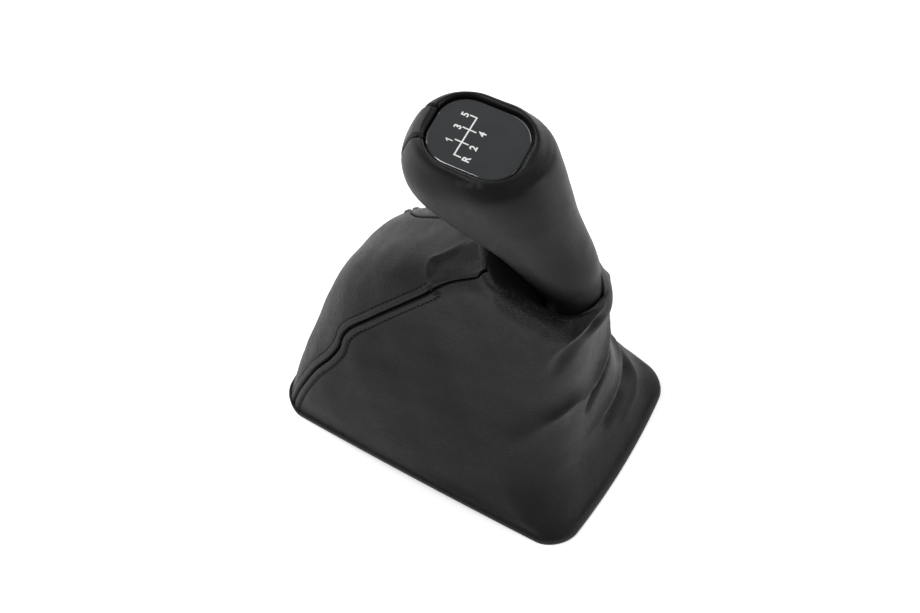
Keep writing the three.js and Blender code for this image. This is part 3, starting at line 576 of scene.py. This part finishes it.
# The flat on the hump beside the near seam: corners (share, level), going round, how far the
# leather sinks and rises there at most, and the width of the crease round it
humpFlat = {
    "corners": [(0.634, 8.72), (0.6, 8.91), (0.579, 9.02), (0.57, 9.1), (0.559, 9.38),
                (0.536, 9.71), (0.507, 10.01), (0.519, 10.76), (0.564, 11.3), (0.606, 11.42),
                (0.617, 10.6), (0.6207, 9.69)],
    "sink": 4, "rise": 1, "crease": 3.2,
}


def flatRelief(points, normals, level, share):
    # moves the skin inside the corners onto one flat plane, with a crease all round
    corners = np.array(humpFlat["corners"])
    loop = np.concatenate([corners, corners[:1]])
    inside = np.zeros(share.shape, bool)
    for (s, l), (sNext, lNext) in zip(loop[:-1], loop[1:]):
        crossed = (l > level) != (lNext > level)
        inside ^= crossed & (share < s + (level - l) * (sNext - s) / (lNext - l + 1e-12))
    rim = skinPoints(bagHoops, corners[:, 1], corners[:, 0])
    middle = rim.mean(axis=0)
    facing = np.linalg.svd(rim - middle)[2][2]
    away = (points - middle) @ facing
    slope = normals @ facing
    drop = -away / np.where(np.abs(slope) < 0.3, 0.3, slope)
    drop = np.clip(drop, -humpFlat["sink"], humpFlat["rise"])
    edge = pathDistance(points, skinPoints(bagHoops, loop[:, 1], loop[:, 0]))[0]
    return np.where(inside, drop * smoothStep(edge, 0, humpFlat["crease"]), 0)


def seamRelief(gap, level, bandEnd):
    # the groove of the seam, the band over the turned-in edge, and the sewn line beside it
    width = bag["weltWidth"]
    band = 1 - smoothStep(level, bandEnd - 0.03, bandEnd + 0.06)
    depth, reach = bag["groove"]
    groove = -depth * np.exp(-(gap / reach) ** 2)
    rise = bag["weltHeight"] * smoothStep(gap, 0.25, 1.3)
    rise = rise * (1 - smoothStep(gap, width - 0.5, width + 0.3))
    depth, reach = bag["sewn"]
    sewn = -depth * np.exp(-((gap - width) / reach) ** 2)
    return groove + (rise + sewn) * band


def panelGrid(isSide):
    # levels and shares of a panel's points, how far each is from its seam, and where that seam's
    # sewn band ends
    levels = levelColumn(bag["rows"])
    h = hoopsAt(bagHoops, levels)
    near, far = seamShareAt(levels, 1), seamShareAt(levels, -1)
    start, end = (0.5 + near, 1.5 - far) if isSide else (0.5 - far, 0.5 + near)
    atNeck = smoothStep(levels, 9.4, 10.8)
    atCrest = smoothStep(levels, 11.45, 11.6) * (1 - smoothStep(levels, 11.75, 11.9))
    slot = bag["neckSlot"] * atNeck + bag["crestSlot"] * atCrest
    edge = (np.array(bag["seamColumns"])[None, :] * (1 - 0.75 * atNeck) + slot) / h["round"]
    shares = spreadShares(start, end, edge, edge[:, -1:] + 0.6 / h["round"],
                          bag["sideColumns" if isSide else "frontColumns"])
    gap = np.minimum(shares - start, end - shares) * h["round"]
    startNearer = shares - start < end - shares
    bandEnd = np.where(startNearer == isSide, bag["weltEnd"], bag["farWeltEnd"])
    return levels, shares, gap, bandEnd


def bagRelief(points, levels, gap, bandEnd):
    # folds and drape are weaker beside the seams, and all of it fades out at frame and neck
    fade = smoothStep(levels, 4, 5) * (1 - smoothStep(levels, 11.2, 12))
    seams = seamRelief(gap, levels, bandEnd) * smoothStep(levels, 3.2, 4.4)
    seams = seams * (1 - smoothStep(levels, 11.5, 12.1))
    away = smoothStep(gap, 1.5, 7)
    drape = sum(height * softNoise(points, size, seed) for height, size, seed in bag["drape"])
    return seams + fade * (foldHeight(points) * (0.35 + 0.65 * away) + drape * away)


def makePanel(name, isSide):
    levels, shares, gap, bandEnd = panelGrid(isSide)
    level = np.broadcast_to(levels, shares.shape)
    points = skinPoints(bagHoops, level, shares)
    normals = skinNormals(bagHoops, level, shares)
    relief = bagRelief(points, level, gap, bandEnd) + flatRelief(points, normals, level, shares)
    outer = points + normals * relief[..., None]
    thick = frameSize["leather"] * (1 - 0.3 * smoothStep(level, 9, 10.5))
    inner = outer - normals * thick[..., None]
    return makeSheet(name, outer, inner, [leatherMaterial, innerMaterial],
                     bagMarks(points, level, gap, bandEnd))


def spotDistance(points, hoops, level, share):
    # distance from each point to one place on a skin
    spot = skinPoints(hoops, np.array(level), np.array(share))
    return np.linalg.norm(points - spot, axis=-1)


def bagMarks(points, level, gap, bandEnd):
    # where the leather's pebbles stand out, with painted shade between them, and where its finish
    # is rubbed
    grain = np.full(level.shape, bag["grain"])
    for atLevel, atShare, reach in bag["grainAndShadeSpots"]:
        off = spotDistance(points, bagHoops, atLevel, atShare)
        grain = np.maximum(grain, bag["strongGrainAndShade"] * np.exp(-(off / reach) ** 4))
    rub, out, reach = bag["rub"]
    wear = rub * np.exp(-((gap - out) / reach) ** 2) * (level > 4) * (level < bandEnd)
    return {"grain": grain, "wear": wear}


sidePanel = makePanel("gaiterSidePanel", True)
frontPanel = makePanel("gaiterFrontPanel", False)
print("bag panels made", len(sidePanel.data.polygons), len(frontPanel.data.polygons))


def threadPiece(name, rowsOfPoints, radius, material):
    # short lengths of thread, each a thin round bead through its own points
    around, allPoints, faces = bag["threadSides"], [], []
    for line in rowsOfPoints:
        line = np.asarray(line)
        count = len(line)
        way = np.gradient(line, axis=0)
        way /= np.linalg.norm(way, axis=1, keepdims=True)
        side = np.cross(way, [0.31, 0.17, 0.93])       # a direction that no thread follows
        side /= np.linalg.norm(side, axis=1, keepdims=True)
        other = np.cross(way, side)
        width = radius * np.sqrt(np.maximum(0.08, 1 - (np.linspace(-1, 1, count)) ** 4))
        base = len(allPoints)
        for k in range(count):
            for turn in range(around):
                angle = 2 * math.pi * turn / around
                allPoints.append(line[k] + width[k] * (math.cos(angle) * side[k]
                                                       + math.sin(angle) * other[k]))
        faces += tubeFaces(count, around, base)
        faces.append(tuple(base + turn for turn in reversed(range(around))))
        faces.append(tuple(base + (count - 1) * around + turn for turn in range(around)))
    return makeMesh(name, allPoints, faces, [material])


def seamLine(side, offset, fromLevel, toLevel, count=600):
    # points on the outside of the bag at a distance from a seam; side is 1 or -1 for the near or
    # far seam, and a positive offset lies on the side panel
    level = np.linspace(fromLevel, toLevel, count)
    h = hoopsAt(bagHoops, level)
    share = 0.5 + side * (seamShareAt(level, side) + offset / h["round"])
    points = skinPoints(bagHoops, level, share)
    normals = skinNormals(bagHoops, level, share)
    gap = np.full(count, abs(offset))
    return points + normals * (bagRelief(points, level, gap, toLevel) + 0.05)[:, None], normals


def stitchRows():
    lines = []
    for side, toLevel in ((1, bag["weltEnd"]), (-1, bag["farWeltEnd"])):
        for offset in (bag["weltWidth"], -bag["weltWidth"]):
            points, normals = seamLine(side, offset, bag["weltStart"], toLevel)
            run = np.concatenate([[0], np.cumsum(np.linalg.norm(np.diff(points, axis=0), axis=1))])
            start, count = bag["stitchStart"], bag["stitchPoints"]
            while start + bag["stitchLength"] < run[-1]:
                along = np.linspace(start, start + bag["stitchLength"], count)
                line = np.stack([np.interp(along, run, points[:, k]) for k in range(3)], -1)
                out = np.stack([np.interp(along, run, normals[:, k]) for k in range(3)], -1)
                # proud by the thread's radius, with both ends down in the leather
                lift = bag["threadRadius"] * (1 - 2.2 * np.linspace(-1, 1, count) ** 4)
                lines.append(line + out * lift[:, None])
                start += bag["stitchPitch"]
    return lines


stitching = threadPiece("gaiterStitching", stitchRows(), bag["threadRadius"], threadMaterial)
print("stitching made")

# The knob: the plate's size, and the groove of the leather round it
plate = {
    "length": 38.5, "width": 33.5, "corner": 12.5, "thickness": 2.6,
    "bevel": 1.1, "bevelSteps": 6,
    "gap": 1.1,             # between the plate and the leather
    "dome": 0.35,
    "rings": (0.97, 0.9, 0.75, 0.55, 0.35, 0.15),       # rows of its top, as shares of the rim
    "around": 96,           # points in each row
}
grooveLong = plate["length"] / 2 + plate["gap"]
grooveWide = plate["width"] / 2 + plate["gap"]
grooveCorner = (plate["corner"] + plate["gap"]) / grooveWide
grooveDepth = plate["thickness"] + 1 + 0.3


def skewHoop(share, front, rearShare, rear, halfWide, turn, shift=0):
    # ends at shares of the lever's length and out from the neck
    return hoop(offLever(share * leverRun, neckRadius + front),
                offLever(rearShare * leverRun, -neckRadius - rear), halfWide,
                turn=turn, shift=shift)


def plateHoop(front, frontUp, rear, rearUp, wide, corner=1):
    # ends out from the groove and up from the plate's slope
    return hoop(offPlate(-grooveLong - front, frontUp), offPlate(grooveLong + rear, rearUp),
                grooveWide + wide, corner, turn=lever["turn"])


def neckHoop(up, radius, rearward, farward):
    # a round hoop that is moved off the lever's axis
    return hoop(offLever(up, radius - rearward), offLever(up, -radius - rearward), radius,
                shift=-farward)


knobHoops = [
    neckHoop(-0.4, 10.6, 1.5, 2.1),
    neckHoop(1.4, 12.2, 1.8, 2.5),
    neckHoop(8, 12.9, 2.1, 2.7),
    skewHoop(0.256, -3.6, 0.204, 0, neckRadius - 2.9, 1, -2.1),
    skewHoop(0.46, 2.2, 0.41, 1.9, neckRadius - 0.7, 3, -1),
    skewHoop(0.672, 11.4, 0.57, 4.3, neckRadius + 2.7, 5, -0.3),
    plateHoop(3.2, -29.7, 13.7, -7.6, 5.2),
    plateHoop(9, -18.1, 9.3, -0.9, 6.2),
    plateHoop(6.4, -3.5, 5.2, 0.6, 3.6),
    plateHoop(2, 1.25, 2, 1.3, 1.5, 0.9),
    plateHoop(-0.35, 0.3, -0.35, 0.3, -0.35, grooveCorner),
    plateHoop(0, -grooveDepth + 0.3, 0, -grooveDepth + 0.3, 0, grooveCorner),
]

knob = {
    "rows": [6, 6, 16, 18, 16, 18, 18, 16, 12, 6, 6],
    "coreRows": [2, 2, 5, 6, 6, 6, 6, 6],       # they stop below the plate's recess
    "coreColumns": 72,
    "coverColumns": 170,
    "stripColumns": 34,
    "seamColumns": [0.0, 0.15, 0.35, 0.6, 0.9, 1.3, 1.8, 2.4, 3.1],     # distances from a seam
    "leather": 1.3,
    "strip": 16,            # width of the front strip
    "stripShift": 2.2,      # how far the strip sits to the near side
    "seamOpen": 0.4,        # half of the gap at the seams
    "rolled": (0.9, 0.5),   # how far the edges turn in, and how near the seam
    "drape": (0.09, 16, 11),        # soft unevenness: height, size and seed
    "grain": 0.5,
    # rubbed spots: level, share, reach and strength
    "rubbed": ((8.0, 0.765, 1.5, 0.5), (8.17, 0.79, 1.5, 0.7), (8.45, 0.815, 1.6, 0.6),
               (4.0, 0.985, 5, 0.3), (3.7, 0.97, 2.5, 0.35), (3.4, 0.03, 2.5, 0.4)),
}

# Moulded and metal finishes
finishes = {
    "base_frame": makePlastic("framePlastic", {"dark": 26, "light": 33, "grain": 1400,
                                               "roughness": 0.5, "bump": 0.5}),
    "neck_collar": makePlastic("collarPlastic", {"dark": 28, "light": 34, "grain": 1600,
                                                 "roughness": 0.45, "bump": 0.4}),
    "knob_core": makePlastic("corePlastic", {"dark": 34, "light": 40, "grain": 1300,
                                             "roughness": 0.5, "bump": 0.4}),
    "lever_bush": makePlastic("bushPlastic", {"dark": 120, "light": 136, "grain": 1200,
                                              "roughness": 0.45, "bump": 0.3}),
    "neck_tie": makePlastic("tieNylon", {"dark": 24, "light": 30, "grain": 1800,
                                         "roughness": 0.35, "bump": 0.3}),
    "plate_pad": makePlastic("padFoam", {"dark": 50, "light": 66, "grain": 2600,
                                         "roughness": 0.9, "bump": 0.9}),
}
stapleSteel = makePlastic("stapleSteel", {"dark": 170, "light": 190, "grain": 2200,
                                          "roughness": 0.32, "bump": 0.25, "metal": 1.0})


def makeKnobLeather(name, isCover):
    levels = levelColumn(knob["rows"])
    h = hoopsAt(knobHoops, levels)
    half = knob["strip"] / 2 / h["round"]
    middle = 0.5 + knob["stripShift"] / h["round"]
    start, end = (middle + half, 1 + middle - half) if isCover else (middle - half, middle + half)
    edge = (np.array(knob["seamColumns"])[None, :] + knob["seamOpen"]) / h["round"]
    shares = spreadShares(start, end, edge, edge[:, -1:] + 0.8 / h["round"],
                          knob["coverColumns" if isCover else "stripColumns"])
    gap = np.minimum(shares - start, end - shares) * h["round"]
    level = np.broadcast_to(levels, shares.shape)
    points = skinPoints(knobHoops, level, shares)
    normals = skinNormals(knobHoops, level, shares)
    depth, reach = knob["rolled"]
    rolled = -depth * np.exp(-((gap - knob["seamOpen"]) / reach) ** 2)
    height, size, seed = knob["drape"]
    relief = rolled * smoothStep(level, 0.1, 0.6) + height * softNoise(points, size, seed)
    outer = points + normals * (relief * (1 - smoothStep(level, 9.6, 10)))[..., None]
    inner = outer - normals * knob["leather"]
    wear = np.zeros(level.shape)
    for atLevel, atShare, reach, strength in knob["rubbed"]:
        off = spotDistance(points, knobHoops, atLevel, atShare)
        wear = np.maximum(wear, strength * np.exp(-(off / reach) ** 2))
    return makeSheet(name, outer, inner, [gripMaterial, innerMaterial],
                     {"grain": np.full(level.shape, knob["grain"]), "wear": wear})


def makeKnobCore():
    # the moulded core under the leather, closed at both ends
    levels = levelColumn(knob["coreRows"])
    count = knob["coreColumns"]
    shares = np.arange(count)[None, :] / count
    level = np.broadcast_to(levels, (len(levels), count))
    points = skinPoints(knobHoops, level, shares)
    points = points - skinNormals(knobHoops, level, shares) * knob["leather"] * 1.1
    rows = len(levels)
    faces = tubeFaces(rows, count)
    faces.append(tuple(range(count))[::-1])
    faces.append(tuple((rows - 1) * count + column for column in range(count)))
    return makeMesh("knobCore", points.reshape(-1, 3), faces, [finishes["knob_core"]])


knobCover = makeKnobLeather("knobCover", True)
knobStrip = makeKnobLeather("knobFrontStrip", False)
knobCore = makeKnobCore()
print("knob leather made")

# The shift plate with its printed pattern
plateGloss = {"dark": 50, "light": 56, "roughness": 0.11, "sheen": 0.8, "coat": 0.5,
              "coatRoughness": 0.05}
pattern = {
    "barX": -5.25,          # the long bar, and the columns that its branches lie in
    "columns": (-11.2, -4.7, 1.87, 8.35),
    "branch": 2.6,
    "turn": 1.6,            # degrees off the plate's own direction
    "lineWidth": 0.6,
    "digitHeight": 2.9,
    "digitBold": 0.03,
    "capShare": 0.7,        # height of a capital as a share of the type's size
    # the 1 is drawn from two strokes, and each end is this much short of a digit's height
    "one": {"short": 0.2, "width": 0.5, "flag": 0.75, "flagWidth": 0.4},
    # each digit: text, off the bar, off its column, and the column
    "digits": (("R", 5.0, 0.3, 0), ("1", -4.75, -1.1, 1), ("2", 5.1, -0.4, 1),
               ("3", -4.65, -0.7, 2), ("4", 5.2, 0.4, 2), ("5", -4.7, -0.6, 3)),
    "thickness": 0.03,
}
platePlace = (Matrix.Translation(Vector((lever["topX"], 0, lever["topZ"])))
              @ Matrix.Rotation(math.radians(lever["turn"]), 4, "Z")
              @ Matrix.Rotation(math.radians(lever["plateTilt"]), 4, "Y"))


def onPlate(points):
    p = np.asarray(points, float)
    m = np.array(platePlace)
    return p @ m[:3, :3].T + m[:3, 3]


def plateRow(inset):
    # the plate's outline, so far in
    shares = np.arange(plate["around"]) / plate["around"]
    corner = plate["corner"] - inset
    halfLong, halfWide = plate["length"] / 2 - inset, plate["width"] / 2 - inset
    h = {"halfLong": halfLong, "halfWide": halfWide, "radius": corner, "arc": corner * math.pi / 2}
    x, y = outlinePoint(shares, h)
    return np.stack([x, y], -1)


def domeAt(x, y):
    reach = (x / (plate["length"] / 2)) ** 2 + (y / (plate["width"] / 2)) ** 2
    return plate["dome"] * np.maximum(0, 1 - reach * 0.75) - plate["dome"] * 0.25


def makePlate():
    bevel, steps, count = plate["bevel"], plate["bevelSteps"], plate["around"]
    rows = [(0.0, -plate["thickness"]), (0.0, -bevel)]
    for step in range(1, steps + 1):
        angle = math.pi / 2 * step / steps
        rows.append((bevel * (1 - math.cos(angle)), bevel * (math.sin(angle) - 1)))
    points = [(x, y, up) for inset, up in rows for x, y in plateRow(inset)]
    rim = plateRow(bevel)
    for share in plate["rings"]:
        for x, y in rim * share:
            lift = domeAt(x, y) * smoothStep(np.array(1 - share), 0.0, 0.12)
            points.append((x, y, float(lift)))
    points.append((0, 0, float(domeAt(0, 0))))
    points.append((0, 0, -plate["thickness"]))
    top, bottom = len(points) - 2, len(points) - 1
    ringCount = len(rows) + len(plate["rings"])
    faces = tubeFaces(ringCount, count)
    for k in range(count):
        beside = (k + 1) % count
        faces.append(((ringCount - 1) * count + k, (ringCount - 1) * count + beside, top))
        faces.append((bottom, beside, k))
    n = Nodes("plateGloss")
    tone = n.noise(60, 2)
    scratch = n.noise(1800, 3)
    n.link(n.tint(tone, grey(plateGloss["dark"], -0.05), grey(plateGloss["light"], -0.05)),
           "Base Color")
    rough = plateGloss["roughness"]
    n.link(n.range(scratch, 0.3, 0.7, rough - 0.03, rough + 0.05), "Roughness")
    n.set(Specular_IOR_Level=plateGloss["sheen"], Coat_Weight=plateGloss["coat"],
          Coat_Roughness=plateGloss["coatRoughness"])
    n.link(n.bump(tone, 0.1, 0.03 * mm), "Normal")
    return makeMesh("shiftPlate", onPlate(points), faces, [n.material])


def stroke(start, end, width, steps=8):
    # a flat bar with square ends between two points of the plate, in steps to follow its dome
    start, end = np.array(start, float), np.array(end, float)
    way = (end - start) / np.linalg.norm(end - start)
    side = np.array([-way[1], way[0]]) * width / 2
    start, end = start - way * width / 2, end + way * width / 2
    points, faces = [], []
    for k in range(steps + 1):
        p = start + (end - start) * k / steps
        points += [tuple(p - side), tuple(p + side)]
    for k in range(steps):
        faces.append((2 * k, 2 * k + 2, 2 * k + 3, 2 * k + 1))
    return points, faces


def digitOutline(text, size):
    # the built-in typeface's own outline, as flat points and faces
    data = bpy.data.curves.new("digit", "FONT")
    data.body = text
    data.size = size
    data.offset = size * pattern["digitBold"]
    data.resolution_u = 6
    data.align_x = "CENTER"
    thing = bpy.data.objects.new("digit", data)
    bpy.context.scene.collection.objects.link(thing)
    bpy.context.view_layer.update()
    seen = thing.evaluated_get(bpy.context.evaluated_depsgraph_get())
    flat = bpy.data.meshes.new_from_object(seen)
    points = [(v.co.x, v.co.y) for v in flat.vertices]
    faces = [tuple(p.vertices) for p in flat.polygons]
    bpy.data.objects.remove(thing)
    bpy.data.curves.remove(data)
    bpy.data.meshes.remove(flat)
    low, high = np.min(points, axis=0), np.max(points, axis=0)
    middle = (low + high) / 2
    return [tuple(np.array(p) - middle) for p in points], faces


def makePattern():
    allPoints, faces = [], []

    def put(points, found):
        base = len(allPoints)
        allPoints.extend(points)
        faces.extend(tuple(base + k for k in face) for face in found)

    bar, branch, width = pattern["barX"], pattern["branch"], pattern["lineWidth"]
    columns = pattern["columns"]
    put(*stroke((bar, columns[0]), (bar, columns[-1]), width))
    for column, start, end in ((0, 0, 1), (1, -1, 1), (2, -1, 1), (3, -1, 0)):
        put(*stroke((bar + start * branch, columns[column]),
                    (bar + end * branch, columns[column]), width))
    one = pattern["one"]
    tall = pattern["digitHeight"] / 2 - one["short"]
    for text, off, beside, column in pattern["digits"]:
        if text == "1":
            x, y = bar + off, columns[column] + beside
            put(*stroke((x - tall, y), (x + tall, y), one["width"]))
            put(*stroke((x - tall, y), (x - tall + one["flag"], y - one["flag"]),
                        one["flagWidth"]))
            continue
        points, found = digitOutline(text, pattern["digitHeight"] / pattern["capShare"])
        # the digits read along the plate's right-hand way, with their tops to the front
        put([(bar + off - up, columns[column] + beside + along) for along, up in points], found)
    flat = np.array(allPoints, float)
    turned = np.stack([flat[:, 1] - columns[0], bar - flat[:, 0]], -1)
    flat = flat + np.tan(math.radians(pattern["turn"])) * turned
    up = domeAt(flat[:, 0], flat[:, 1]) + pattern["thickness"]
    return makeMesh("shiftPattern", onPlate(np.column_stack([flat, up])), faces,
                    [printMaterial()], smooth=False)


def printMaterial():
    n = Nodes("whitePrint")
    tone = n.noise(900, 3)
    n.link(n.tint(tone, grey(222), grey(240)), "Base Color")
    n.set(Roughness=0.35)
    return n.material


shiftPlate = makePlate()
shiftPattern = makePattern()
print("shift plate made")

# The moulded and metal pieces keep their own shapes
for nodeName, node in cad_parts.items():
    finish = finishes.get(nodeName, stapleSteel if nodeName.startswith("staple") else None)
    if finish is not None:
        for slot in node.material_slots:
            slot.material = finish
print("moulded pieces finished")

# What each piece rides on: all of them ride on the root body
for piece, slotName in ((sidePanel, "bag_leather"), (frontPanel, "bag_leather"),
                        (stitching, "bag_leather"), (knobCover, "grip_leather"),
                        (knobStrip, "grip_leather"), (knobCore, "core_plastic"),
                        (shiftPlate, "plate_gloss"), (shiftPattern, "plate_gloss")):
    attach(piece, "root")
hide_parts("gaiter_side_panel")
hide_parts("gaiter_front_panel")
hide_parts("knob_cover")
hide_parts("knob_front_strip")
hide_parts("knob_core")
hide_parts("shift_plate")

# Sheets of leather: the rectangle that each is cut from, and its own area, in metres
leatherCuts = (
    (sidePanel, (0.40, 0.19), 0.0415, "stretched", ["base_frame", "neck_collar"]),
    (frontPanel, (0.16, 0.165), 0.0139, "stretched", ["base_frame", "neck_collar"]),
    (knobCover, (0.125, 0.115), 0.0110, "stretched", ["knob_core"]),
    (knobStrip, (0.018, 0.12), 0.0020, "stretched", ["knob_core"]),
)
for piece, flat, area, held, carriers in leatherCuts:
    faceArea = sum(p.area for p in piece.data.polygons)        # of both sides of the sheet
    print(piece.name, "area", round(faceArea / 2, 5))

# Floor and lights, in metres
studio = {
    "world": 0.18,
    "floorGlow": 0.5,
    "floorHalf": 3,
    "floorDrop": 0.0003,    # a little below the part, so that their faces don't meet
    "aim": (0, 0, 0.08),    # where every light points
    "left": {"at": (-0.95, 0.25, 0.5), "size": 0.8, "power": 5.2},
    "right": {"at": (1.0, 0.3, 0.45), "size": 0.7, "power": 3.8},
    "near": {"at": (-0.3, -0.45, 1.1), "size": 0.5, "power": 6.5},
    "far": {"at": (0.1, 1.1, 0.55), "size": 0.9, "power": 7},
}


def makeStudio():
    floor = bpy.data.meshes.new("floor")
    half = studio["floorHalf"]
    corners = [(-half, -half, 0), (half, -half, 0), (half, half, 0), (-half, half, 0)]
    floor.from_pydata(corners, [], [(0, 1, 2, 3)])
    n = Nodes("paleFloor")
    n.link(n.mix(n.noise(3, 2), grey(246), grey(250)), "Base Color")
    n.set(Roughness=0.7, Specular_IOR_Level=0.2)
    n.set(Emission_Color=(1, 1, 1, 1), Emission_Strength=studio["floorGlow"])
    floor.materials.append(n.material)
    ground = bpy.data.objects.new("floor", floor)
    ground.location.z = -studio["floorDrop"]
    bpy.context.scene.collection.objects.link(ground)
    world = bpy.data.worlds.new("studio")
    world.use_nodes = True
    sky = world.node_tree.nodes["Background"].inputs
    sky["Color"].default_value = (1, 1, 1, 1)
    sky["Strength"].default_value = studio["world"]
    bpy.context.scene.world = world
    for name in ("left", "right", "near", "far"):
        look = studio[name]
        data = bpy.data.lights.new(name, "AREA")
        data.shape = "DISK"
        data.size = look["size"]
        data.energy = look["power"]
        lamp = bpy.data.objects.new(name, data)
        lamp.location = look["at"]
        lamp.rotation_mode = "QUATERNION"
        toAim = Vector(studio["aim"]) - lamp.location
        lamp.rotation_quaternion = toAim.to_track_quat("-Z", "Y")
        bpy.context.scene.collection.objects.link(lamp)
    bpy.context.scene.view_settings.view_transform = "Standard"
    bpy.context.scene.view_settings.look = "None"


makeStudio()
print("studio made")
